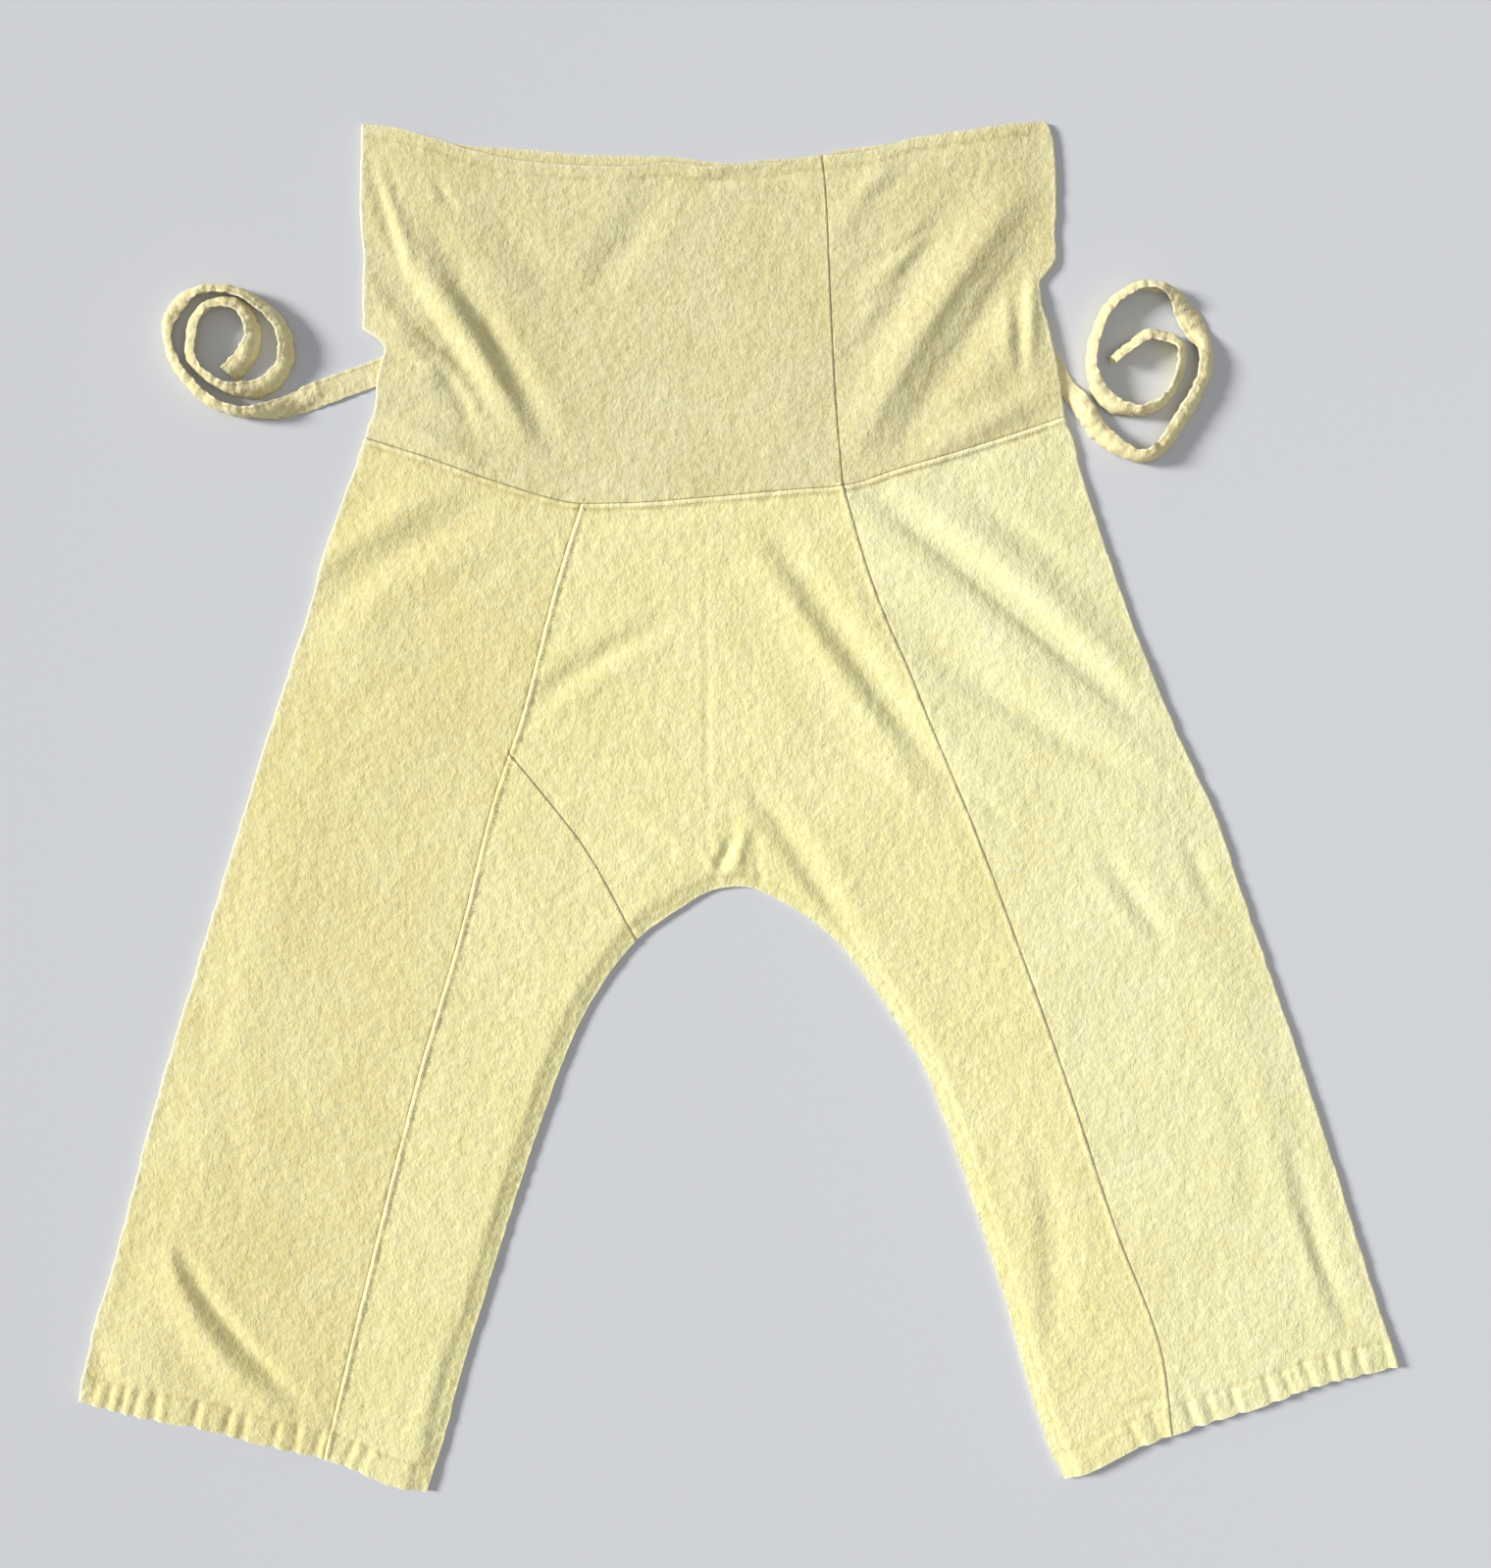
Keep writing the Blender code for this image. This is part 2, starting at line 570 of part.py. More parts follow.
def make(name, points, faces):
    mesh = bpy.data.meshes.new(name)
    mesh.from_pydata([tuple(p * MM) for p in points], [], faces)
    mesh.shade_smooth()
    mesh.set_sharp_from_angle(angle=math.radians(40))
    colour, rough = COTTON[name]
    material = bpy.data.materials.new(f"{name}_cotton")
    material.use_nodes = True
    shader = material.node_tree.nodes["Principled BSDF"]
    shader.inputs["Base Color"].default_value = (*colour, 1.0)
    shader.inputs["Roughness"].default_value = rough
    shader.inputs["Metallic"].default_value = 0.0
    mesh.materials.append(material)
    thing = bpy.data.objects.new(name, mesh)
    bpy.context.scene.collection.objects.link(thing)
    return thing


# The ties


def tie_section(width, curl, roll):
    """Middle points of a tie's section: across (towards the inside of its coil) and up."""
    turn, curl = np.linspace(-1, 1, 4), max(curl, 1e-3)
    radius = width / (2 * curl)
    chord, bow = radius * np.sin(turn * curl), radius * (np.cos(turn * curl) - math.cos(curl))
    across = chord * math.cos(roll) - bow * math.sin(roll)
    up = chord * math.sin(roll) + bow * math.cos(roll)
    slant = np.gradient(across), np.gradient(up)
    size = np.hypot(*slant)
    normal = np.column_stack([-slant[1] / size, slant[0] / size]) * TIE_WALL / 2
    middle = np.column_stack([across, up])
    return np.concatenate([middle + normal, (middle - normal)[::-1]])


def section_for(shown, stood):
    """The section that is as wide, seen from above, as the tie shows: first curled, then rolled."""
    width = shown + (max(TIE_WIDTH, shown) - shown) * stood
    low, high = 0.0, 2.0
    for _ in range(24):
        amount = (low + high) / 2
        ring = tie_section(width, stood * TIE_CURL * min(amount, 1), stood * TIE_ROLL * max(0, amount - 1))
        low, high = (amount, high) if np.ptp(ring[:, 0]) > shown else (low, amount)
    ring[:, 0] -= (ring[:, 0].max() + ring[:, 0].min()) / 2
    ring[:, 1] -= ring[:, 1].min()
    return ring


def tie(name, table, inside_on):
    route, _ = smooth_rows(table, TIE_STEP)
    way = np.gradient(route[:, :2], axis=0)
    way /= np.linalg.norm(way, axis=1)[:, None]
    towards = inside_on * np.column_stack([-way[:, 1], way[:, 0]])
    points = []
    for row, normal in zip(route, towards):
        for across, up in section_for(row[2], min(1, max(0, row[3]))):
            points.append((*(row[:2] + across * normal), up))
    n, count = 8, len(route)
    faces = []
    for i in range(count - 1):
        for k in range(n):
            a, b = i * n + k, i * n + (k + 1) % n
            faces += [(a, b, b + n), (a, b + n, a + n)]
    for start in (0, (count - 1) * n):
        cap = []
        for k in range(3):
            a, b, c, d = start + k, start + k + 1, start + 6 - k, start + 7 - k
            cap += [(a, b, c), (a, c, d)]
        faces += [f[::-1] for f in cap] if start == 0 else cap
    if inside_on < 0:
        faces = [f[::-1] for f in faces]
    make(name, np.array(points), [f[::-1] for f in faces])


# The pieces


def main():
    for thing in list(bpy.data.objects):
        bpy.data.objects.remove(thing, do_unlink=True)

    half = GAP / 2
    back_left, back_right = mirrored(right_seam), mirrored(left_seam)

    # Where the long seams meet the waist seam and the hems.
    tops = {f: meet(f, waist_up, 245.0) for f in (left_seam, right_seam, back_left, back_right)}
    hems = {f: meet(f, hem_up, -500.0) for f in (left_seam, right_seam, back_left, back_right)}
    corner_up = {
        side: meet(lambda up, s=side: fold_line(s, up), waist_up, 300.0) for side in (-1, 1)
    }
    hem_corner = {
        side: meet(lambda up, s=side: fold_line(s, up), hem_up, -450.0) for side in (-1, 1)
    }
    top_corner = {
        side: meet(lambda up, s=side: fold_line(s, up), lambda x: read(FRONT_TOP["across"], FRONT_TOP["up"], x), 536.0)
        for side in (-1, 1)
    }
    seams = {
        f: run(f, tops[f], hems[f], extra=(DIAGONAL_TOP,) if f in (left_seam, back_right) else ())
        for f in tops
    }
    folds = {
        side: run(lambda up, s=side: fold_line(s, up), corner_up[side], hem_corner[side]) for side in (-1, 1)
    }
    band_folds = {
        -1: run(lambda up: fold_line(-1, up), top_corner[-1], corner_up[-1], (371, 360, 352, 342, 331, 318)),
        1: run(lambda up: fold_line(1, up), top_corner[1], corner_up[1], (418, 408, 396, 372, 360, 348, 336, 324)),
    }
    waists = {
        True: spread(waist_up, folds[-1][0, 0], folds[1][0, 0], (seams[left_seam][0, 0], seams[right_seam][0, 0])),
        False: spread(waist_up, folds[-1][0, 0], folds[1][0, 0], (seams[back_left][0, 0], seams[back_right][0, 0])),
    }

    def waist(front, start, end):
        points = waists[front]
        kept = points[(points[:, 0] > min(start, end) - 1e-6) & (points[:, 0] < max(start, end) + 1e-6)]
        return kept if start < end else kept[::-1]

    # Waistband: one strip round both side folds, closed by a seam down the front.
    band = Wall()
    band_line = lambda up: read(BAND_SEAM["up"], BAND_SEAM["across"], up)
    top = lambda table: lambda x: read(table["across"], table["up"], x)
    seam_top = meet(band_line, top(FRONT_TOP), 511.0)
    seam_run = run(band_line, seam_top, tops[right_seam])
    seam_run[-1] = seams[right_seam][0]
    left_x, right_x = band_folds[-1][0, 0], band_folds[1][0, 0]
    front_left = band.sheet([
        (band_folds[-1], 0), (waist(True, -1e3, seam_run[-1, 0]), half), (seam_run[::-1], half),
        (spread(top(FRONT_TOP), seam_run[0, 0], left_x), 0),
    ], front=True)
    front_right = band.sheet([
        (seam_run, half), (waist(True, seam_run[-1, 0], 1e3), half), (band_folds[1][::-1], 0),
        (spread(top(FRONT_TOP), right_x, seam_run[0, 0]), 0),
    ], front=True)
    back = band.sheet([
        (band_folds[-1], 0), (waist(False, -1e3, 1e3), half), (band_folds[1][::-1], 0),
        (spread(top(BACK_TOP), right_x, left_x), 0),
    ], front=False)
    band.fold(front_left[0], back[0], -1)
    band.fold(front_right[2], back[2], 1)
    band.solid("waistband")

    # Outer leg panels: from the front seam round the side fold to the back seam.
    for name, side, front_seam, back_seam in (
        ("left_outer_leg", -1, left_seam, back_left),
        ("right_outer_leg", 1, right_seam, back_right),
    ):
        leg = Wall()
        edges = []
        for front, seam in ((True, front_seam), (False, back_seam)):
            fold, line = folds[side], seams[seam]
            edges.append(leg.sheet([
                (waist(front, fold[0, 0], line[0, 0]), half), (line, half),
                (spread(hem_up, line[-1, 0], fold[-1, 0]), 0), (fold[::-1], 0),
            ], front=front))
        leg.fold(edges[0][3], edges[1][3], side)
        leg.solid(name)

    # Centre and inner leg panels. The diagonal seam lets the crotch sit low.
    hem_row = len(INNER_ROWS) - 1
    for front, straight, forked, sign in ((True, right_seam, left_seam, 1), (False, back_left, back_right, -1)):
        join_row, other_row = (
            (LEFT_DIAGONAL_ROW, RIGHT_DIAGONAL_ROW) if front else (RIGHT_DIAGONAL_ROW, LEFT_DIAGONAL_ROW)
        )
        long_end, short_end = (hem_row, 0) if front else (0, hem_row)
        fork = seams[forked]
        split = int(np.argmin(abs(fork[:, 1] - DIAGONAL_TOP)))
        middle = [(sign * x, y) for x, y in zip(DIAGONAL["across"], DIAGONAL["up"])]
        diagonal, _ = smooth_rows([fork[split], *middle, INNER[INNER_ROWS[join_row]]], EDGE_STEP)
        long_line, long_inner = seams[straight], inner(join_row, long_end)
        panel = Wall()
        panel.sheet([
            (waist(front, long_line[0, 0], fork[0, 0]), half), (fork[:split + 1], half), (diagonal, half),
            (long_inner, 0), (spread(hem_up, long_inner[-1, 0], long_line[-1, 0]), 0),
            (long_line[::-1], half),
        ], front=front)
        panel.solid("front_centre_panel" if front else "back_centre_panel")
        short_inner = inner(join_row, short_end)
        panel = Wall()
        panel.sheet([
            (fork[split:], half), (spread(hem_up, fork[-1, 0], short_inner[-1, 0]), 0),
            (short_inner[::-1], 0), (diagonal[::-1], half),
        ], front=front)
        panel.solid("front_left_inner_leg" if front else "back_right_inner_leg")

    tie("left_tie", LEFT_TIE, -1)
    tie("right_tie", RIGHT_TIE, 1)


main()
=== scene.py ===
# %% [markdown]
# # Drop crotch pants, laid flat
# These pants are cut from one crinkled cotton: a tall waistband, two outer leg panels that wrap round
# the sides, centre panels that reach down into a low arched crotch, and two long ties. They lie on
# their back with the front smoothed out. A simulation would drop the cloth where it likes, so here
# every crease is placed one by one on a height map, and each panel becomes a thin closed shell.

# %% Load the frame
import math

import bpy
import numpy as np
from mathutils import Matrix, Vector, noise
from mathutils.geometry import delaunay_2d_cdt
from mathutils.kdtree import KDTree


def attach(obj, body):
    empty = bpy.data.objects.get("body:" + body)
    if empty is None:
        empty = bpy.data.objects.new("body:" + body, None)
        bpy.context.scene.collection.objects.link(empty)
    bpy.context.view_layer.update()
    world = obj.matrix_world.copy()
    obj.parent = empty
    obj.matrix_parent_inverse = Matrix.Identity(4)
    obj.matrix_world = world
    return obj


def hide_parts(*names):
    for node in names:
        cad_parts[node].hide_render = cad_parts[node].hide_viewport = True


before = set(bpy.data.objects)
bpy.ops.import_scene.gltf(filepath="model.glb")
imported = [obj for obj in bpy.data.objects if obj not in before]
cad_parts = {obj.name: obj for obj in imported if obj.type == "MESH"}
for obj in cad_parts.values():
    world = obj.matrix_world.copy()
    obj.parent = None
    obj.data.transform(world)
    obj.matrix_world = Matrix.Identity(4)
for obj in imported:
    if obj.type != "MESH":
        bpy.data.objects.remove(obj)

MM = 0.001
scene = bpy.context.scene


def put(name, data):
    """A new object in the scene that shows the given data."""
    thing = bpy.data.objects.new(name, data)
    scene.collection.objects.link(thing)
    return thing


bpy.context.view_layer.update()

# %% [markdown]
# ## Where the viewer stands
# The garment is seen from straight above, so the camera needs no turn: an unturned camera looks down
# with +Y at the top of the picture. Its height and lens follow from how many pixels one metre takes.

# %% The camera
PICTURE_HEIGHT_PX = 1599
PX_PER_METRE = 1300
EYE_X, EYE_Y = 0.0054, 0.0177
LENS = SENSOR = 36.0
FRONT_UP = 0.004

camera_data = bpy.data.cameras.new("camera")
camera_data.sensor_fit = "VERTICAL"
camera_data.sensor_height = SENSOR
camera_data.lens = LENS
camera = put("camera", camera_data)
camera.location = (EYE_X, EYE_Y, PICTURE_HEIGHT_PX * LENS / SENSOR / PX_PER_METRE + FRONT_UP)
scene.camera = camera
print("camera height", round(camera.location.z, 3), "m")

# %% [markdown]
# ## Light and floor
# Crinkled cloth only shows its crinkles when light crosses it at a slant. One wide, far and soft
# light on the left does that, and a pale surround keeps the hollows from going black. The plain
# display setting keeps the pale yellow as clear as it is to the eye.

# %% Light and floor
WINDOW_FROM, WINDOW_ANGLE, WINDOW_ENERGY = (-4.9, 0.9, 2.25), math.radians(15), 4.4
CEILING_FROM, CEILING_AIM, CEILING_SIZE, CEILING_POWER = (0.7, -0.2, 2.6), (0.1, 0.0, 0.0), 2.4, 14.0
SURROUND_COLOUR, SURROUND_STRENGTH = (0.93, 0.95, 1.0, 1.0), 0.30
FLOOR_COLOUR, FLOOR_ROUGHNESS = (0.62, 0.63, 0.65, 1.0), 0.9
FLOOR_REACH, FLOOR_UP = 30, -2e-4


def area_light(name, place, aim, size, power):
    data = bpy.data.lights.new(name, "AREA")
    data.shape, data.size, data.energy = "DISK", size, power
    lamp = put(name, data)
    lamp.location = place
    lamp.rotation_euler = (Vector(aim) - Vector(place)).to_track_quat("-Z", "Y").to_euler()
    return lamp


window = area_light("window", WINDOW_FROM, (0.0, 0.0, 0.0), 1.5, 1.0)
window.data.type = "SUN"
window.data.angle, window.data.energy = WINDOW_ANGLE, WINDOW_ENERGY
area_light("ceiling", CEILING_FROM, CEILING_AIM, CEILING_SIZE, CEILING_POWER)
scene.view_settings.view_transform = "Standard"
world = bpy.data.worlds.new("surround")
world.use_nodes = True
backdrop = world.node_tree.nodes["Background"]
backdrop.inputs["Color"].default_value = SURROUND_COLOUR
backdrop.inputs["Strength"].default_value = SURROUND_STRENGTH
scene.world = world

floor_mesh = bpy.data.meshes.new("floor")
floor_corners = ((-1, -1), (1, -1), (1, 1), (-1, 1))
floor_mesh.from_pydata(
    [(x * FLOOR_REACH, y * FLOOR_REACH, FLOOR_UP) for x, y in floor_corners], [], [(0, 1, 2, 3)]
)
floor = put("floor", floor_mesh)
floor_paint = bpy.data.materials.new("pale_floor")
floor_paint.use_nodes = True
floor_shader = floor_paint.node_tree.nodes["Principled BSDF"]
floor_shader.inputs["Base Color"].default_value = FLOOR_COLOUR
floor_shader.inputs["Roughness"].default_value = FLOOR_ROUGHNESS
floor_mesh.materials.append(floor_paint)

# %% [markdown]
# ## The outline
# Every edge and seam is a short table in millimetres, measured from the middle of the laid-out
# garment: X across, Y up to the waist. The rows of the edges and seams are the same as those of the
# solids, so each panel lies where its solid lies.

# %% Tables of edges and seams
LEFT_SIDE = {
    "up": (540, 517, 463, 431, 398, 376, 371, 366, 360, 337, 310, 300, 290, 263, 237, 202,
           156, 102, 48, -13, -83, -152, -221, -290, -360, -429, -466),
    "out": (-296, -297, -297.5, -295.4, -295.3, -295.4, -289.5, -282, -278.6, -283.5, -286.9,
            -291, -294.4, -303, -312.3, -324.1, -337.7, -354.6, -372.6, -391.5, -412.7, -433.8,
            -454.6, -473.1, -491.5, -511.5, -518.5),
}
RIGHT_SIDE = {
    "up": (540, 531, 517, 494, 431, 420, 410, 398, 383, 367, 337, 310, 300, 290, 263, 237, 202,
           156, 102, 48, -13, -83, -152, -221, -290, -360, -439),
    "out": (240, 245.8, 248.6, 250, 249.9, 243.8, 236.9, 237.7, 241.7, 245.7, 251.9, 255.4, 257.7,
            263.1, 269.2, 277.6, 289.2, 305.4, 326.2, 349.5, 377.7, 400.8, 425.4, 448.5, 470.8,
            492.7, 518.5),
}
FRONT_TOP = {
    "across": (-297, -271, -241, -210, -171, -123, -87, -56, -25, 28, 52, 82, 105, 136, 175, 213, 243),
    "up": (536, 532.3, 524, 514.4, 505.8, 501.8, 500.8, 504.3, 501.3, 504.3, 509, 511, 514.2,
           523.7, 529.3, 535, 538.1),
}
BACK_TOP = {
    "across": (-297, -271, -241, -210, -171, -123, -56, -2, 28, 52, 82, 105, 136, 175, 213, 243),
    "up": (536, 532.3, 524.3, 519.3, 516.7, 512.4, 510.6, 505.4, 508.7, 509.4, 516.1, 519.1,
           523.7, 529.3, 535, 538.1),
}
WAIST_SEAM = {
    "across": (-296, -246, -201, -171, -148, -123, -87, -14, 47, 82, 126, 171, 217, 252, 262),
    "up": (290.5, 274.5, 258.5, 248.8, 242, 237.5, 238, 243.5, 248.8, 251.5, 265, 278, 292.7, 304.6, 307),
}
BAND_SEAM = {"up": (512, 480, 380, 310, 252), "across": (65.4, 68.5, 73, 76.9, 81.9)}
LEFT_LEG_SEAM = {
    "up": (240, 210, 158, 76, 2, -94, -214, -352, -510),
    "across": (-122.5, -132.5, -147.7, -168.5, -193, -217, -252, -287, -325),
}
RIGHT_LEG_SEAM = {
    "up": (252, 228, 194, 152, 110, 66, -7, -86, -210, -329, -435, -492),
    "across": (82, 89, 98.8, 113.8, 132.3, 150, 180.8, 211, 255.4, 295, 333, 340),
}
DIAGONAL_TOP = 42.0
DIAGONAL = {"across": (-151.5, -117.7), "up": (8, -36.5)}
INNER_EDGE = {
    "across": (-245, -232, -220, -199, -177, -154, -137, -115, -80, -43, -24, -6, 13, 48, 77, 112,
               142, 161, 185, 208, 227, 242, 255),
    "up": (-538, -498, -452, -383, -313, -244, -198, -152, -105, -78, -67, -63, -65, -83, -106,
           -152, -198, -244, -313, -383, -452, -498, -527),
}
LEFT_DIAGONAL_ROW, RIGHT_DIAGONAL_ROW = 8, 14
LEFT_HEM = {
    "across": (-518.5, -499, -462, -425, -388, -352, -325, -296, -272, -245),
    "up": (-466, -472, -480.4, -486.5, -496.5, -505, -511, -522, -532, -538),
}
RIGHT_HEM = {
    "across": (255, 273, 310, 340, 375, 413, 452, 486, 518.5),
    "up": (-527, -522, -503.5, -492.5, -480.8, -469, -454.2, -446, -439),
}
print("outline rows:", sum(
    len(t["up"]) for t in (LEFT_SIDE, RIGHT_SIDE, FRONT_TOP, LEFT_HEM, RIGHT_HEM, INNER_EDGE)
))

# %% [markdown]
# ## Reading a table
# Between two rows the value follows a smooth curve that never overshoots a row, so a straight run
# stays straight. An edge that doubles back, like the crotch, is read along its own length instead.

# %% Reading a table
def ease(x):
    x = np.clip(x, 0.0, 1.0)
    return x * x * (3 - 2 * x)


def hump(x):
    return np.exp(-x * x)


def curve_at(t, length, a, slope_a, b, slope_b):
    """The smooth curve from a to b with the given slopes at both ends."""
    return (
        a * (1 + 2 * t) * (1 - t) ** 2 + slope_a * length * t * (1 - t) ** 2
        + b * t * t * (3 - 2 * t) + slope_b * length * t * t * (t - 1)
    )


def read(stations, values, at):
    x, y = np.array(stations, float), np.array(values, float)
    order = np.argsort(x)
    x, y = x[order], y[order]
    at = np.clip(at, x[0], x[-1])
    step, rise = np.diff(x), np.diff(y)
    grade = rise / step
    slope = np.concatenate([grade[:1], np.zeros(len(x) - 2), grade[-1:]])
    before, after = grade[:-1], grade[1:]
    same = before * after > 0
    slope[1:-1][same] = 2 * (before * after)[same] / (before + after)[same]
    i = np.clip(np.searchsorted(x, at, side="right") - 1, 0, len(x) - 2)
    return curve_at((at - x[i]) / step[i], step[i], y[i], slope[i], y[i + 1], slope[i + 1])


def smooth_rows(rows, spacing):
    """Points on a smooth curve through every row, and where each row is among them."""
    rows = np.array(rows, float)
    lengths = np.linalg.norm(np.diff(rows[:, :2], axis=0), axis=1)
    at = np.concatenate([[0], np.cumsum(lengths)])
    slope = np.empty_like(rows)
    slope[1:-1] = (rows[2:] - rows[:-2]) / (at[2:] - at[:-2])[:, None]
    slope[0], slope[-1] = (rows[1] - rows[0]) / lengths[0], (rows[-1] - rows[-2]) / lengths[-1]
    points, kept = [], []
    for i, length in enumerate(lengths):
        kept.append(len(points))
        steps = max(1, round(length / spacing))
        for t in np.arange(steps) / steps:
            points.append(curve_at(t, length, rows[i], slope[i], rows[i + 1], slope[i + 1]))
    kept.append(len(points))
    points.append(rows[-1])
    return np.array(points), kept


def ripple(at, wave, seed):
    """An even-handed wobble between about -1 and 1, the same each run."""
    at = np.atleast_1d(at)
    return np.array([noise.noise(Vector((a / wave, seed, 0.5))) for a in at.ravel()]).reshape(at.shape) * 1.6


print(
    "waist seam at the middle:",
    round(float(read(WAIST_SEAM["across"], WAIST_SEAM["up"], 0.0)), 1), "mm up",
)

# %% [markdown]
# ## Seams as functions
# A seam that runs down the garment gives its place across for any height, and one that runs across
# gives its height. The real edges are never ruler-straight, so the side folds waver by half a
# millimetre and the hems are drawn up a little wherever their stitching puckers. Each pucker has its
# own place, depth and width.

# %% Seams as functions
FOLD_INSET, FOLD_SLACK = 1.95, 0.25
FOLD_WAVER, FOLD_WAVE = 0.55, 13.0
HEM_DRAW = 1.1
FULL_PUCKER, BACK_PUCKER = 1.6, 0.25
HEM_TUCK = 0.35
TOP_WAVER, TOP_WAVE = 0.35, 9.0
# Each row of a pucker table: place across, depth and half width, in millimetres.
LEFT_PUCKERS = (
    (-509, 0.9, 2.6), (-496, 1.5, 2.4), (-485, 1.5, 2.2), (-474, 1.3, 2.6), (-459, 1.7, 3.2),
    (-427, 1.7, 2.6), (-403, 1.8, 2.8), (-390, 1.2, 2.4), (-365, 1.6, 2.4), (-349, 1.6, 2.4),
    (-332, 1.6, 2.2), (-309, 1.4, 2.2), (-298, 0.9, 2.4), (-256, 1.3, 2.0), (-250, 0.8, 1.8),
)
RIGHT_PUCKERS = (
    (315, 1.1, 2.4), (331, 1.6, 2.0), (336, 0.9, 1.8), (358, 2.1, 2.8), (373, 1.2, 2.4),
    (392, 1.5, 2.4), (419, 1.5, 2.4), (434, 1.5, 2.0), (440, 0.8, 1.8), (450, 1.3, 2.2),
    (465, 1.6, 2.2), (476, 1.4, 2.2), (489, 1.3, 2.2), (510, 1.0, 2.4),
)


def fold_line(side, up):
    table = LEFT_SIDE if side < 0 else RIGHT_SIDE
    up = np.asarray(up, float)
    out = read(table["up"], table["out"], up)
    waver = FOLD_WAVER * ripple(up, FOLD_WAVE, 3.7 + side)
    return out - side * (FOLD_INSET + FOLD_SLACK + waver.reshape(out.shape))


def height_at(table, across):
    return read(table["across"], table["up"], across)


def waist_up(across):
    return height_at(WAIST_SEAM, across)


def hem_tables(x):
    return (LEFT_HEM, LEFT_PUCKERS) if np.mean(x) < 0 else (RIGHT_HEM, RIGHT_PUCKERS)


def hem_up(across):
    table, puckers = hem_tables(across)
    across = np.asarray(across, float)
    up = height_at(table, across)
    for at, depth, half in puckers:
        up = up + HEM_DRAW * depth / FULL_PUCKER * hump((across - at) / (half * 1.5))
    return up - HEM_TUCK


def seam_of(table):
    return lambda up: read(table["up"], table["across"], up)


def top_of(table):
    return lambda across: height_at(table, across) + TOP_WAVER * ripple(across, TOP_WAVE, 8.1)


def mirrored(seam):
    """The same seam on the back: as far from the other side fold."""
    return lambda up: (
        read(LEFT_SIDE["up"], LEFT_SIDE["out"], up) + read(RIGHT_SIDE["up"], RIGHT_SIDE["out"], up) - seam(up)
    )


left_seam, right_seam, band_seam = seam_of(LEFT_LEG_SEAM), seam_of(RIGHT_LEG_SEAM), seam_of(BAND_SEAM)
back_left, back_right = mirrored(right_seam), mirrored(left_seam)
front_top, back_top = top_of(FRONT_TOP), top_of(BACK_TOP)


def meet(line, curve, up):
    for _ in range(40):
        up = 0.5 * (up + float(np.ravel(curve(np.array([float(np.ravel(line(up))[0])])))[0]))
    return up


tops = {f: meet(f, waist_up, 245.0) for f in (left_seam, right_seam, back_left, back_right)}
hems = {f: meet(f, hem_up, -500.0) for f in (left_seam, right_seam, back_left, back_right)}
print("leg seams meet the hems at", [round(h, 1) for h in hems.values()])

# %% [markdown]
# ## Chains of points
# An edge or a seam is used as a chain of points about 2.6 mm apart. The helper below says how far
# any point of the cloth is from a chain, how far along it, and on which hand. Creases, felled seams
# and stitch lines are all built from that one answer.

# %% Chains of points
EDGE_STEP = 2.6


def run(line, top, bottom, step=EDGE_STEP):
    n = max(2, round((top - bottom) / step))
    ups = np.linspace(top, bottom, n + 1)
    return np.column_stack([line(ups), ups])


def whole(seam, step=EDGE_STEP):
    """A leg seam from the waist seam down to the hem."""
    return run(seam, tops[seam], hems[seam], step)


def spread(curve, start, end, step=EDGE_STEP):
    n = max(1, round(abs(end - start) / step))
    xs = np.linspace(start, end, n + 1)
    return np.column_stack([xs, curve(xs)])


def cross(a, b):
    return a[..., 0] * b[..., 1] - a[..., 1] * b[..., 0]


def directions(chain):
    way = np.gradient(chain, axis=0)
    return way / np.linalg.norm(way, axis=1)[:, None]


def left_of(way):
    return np.column_stack([-way[:, 1], way[:, 0]])


def to_chain(points, chain):
    """Each point's distance, length along the chain, way from it, and 1 on its left or -1 on its right."""
    n = len(points)
    best, along, off, hand = np.full(n, 1e9), np.zeros(n), np.zeros((n, 2)), np.ones(n)
    lengths = np.linalg.norm(np.diff(chain, axis=0), axis=1)
    starts = np.concatenate([[0], np.cumsum(lengths)])
    for a, b, start, length in zip(chain[:-1], chain[1:], starts, lengths):
        way = (b - a) / length
        t = np.clip((points - a) @ way, 0, length)
        apart = points - (a + t[:, None] * way)
        d = np.hypot(apart[:, 0], apart[:, 1])
        near = d < best
        best[near], along[near], off[near] = d[near], start + t[near], apart[near]
        hand[near] = np.where(cross(way, apart[near]) < 0, -1.0, 1.0)
    return best, along, off, hand


def within(points, chain, reach):
    low, high = chain.min(axis=0) - reach, chain.max(axis=0) + reach
    return ((points > low) & (points < high)).all(axis=1)


INNER, INNER_ROWS = smooth_rows(list(zip(INNER_EDGE["across"], INNER_EDGE["up"])), EDGE_STEP)
calm = ease(np.minimum(np.arange(len(INNER)), np.arange(len(INNER))[::-1]) / 8.0)
inner_waver = 0.4 * calm * ripple(np.arange(len(INNER)) * EDGE_STEP, 11.0, 5.3)
INNER = INNER + inner_waver[:, None] * left_of(directions(INNER))
INNER_COARSE = INNER[::5]


def inner(first_row, last_row):
    a, b = INNER_ROWS[first_row], INNER_ROWS[last_row]
    return INNER[a:b + 1] if b > a else INNER[b:a + 1][::-1]


print(
    "inner edge:", len(INNER), "points,",
    round(float(np.linalg.norm(np.diff(INNER, axis=0), axis=1).sum())), "mm",
)

# %% [markdown]
# ## Creases
# Each crease is a row: a line bowed through a middle point, how wide its two flanks are, and how
# high it stands, below zero for a trough. A crease with a narrow flank on one side reads as a sharp
# step, as where the waistband's fold turns over. The first two tables are the solids' own, and the
# third adds small ones that only the dressed cloth shows.

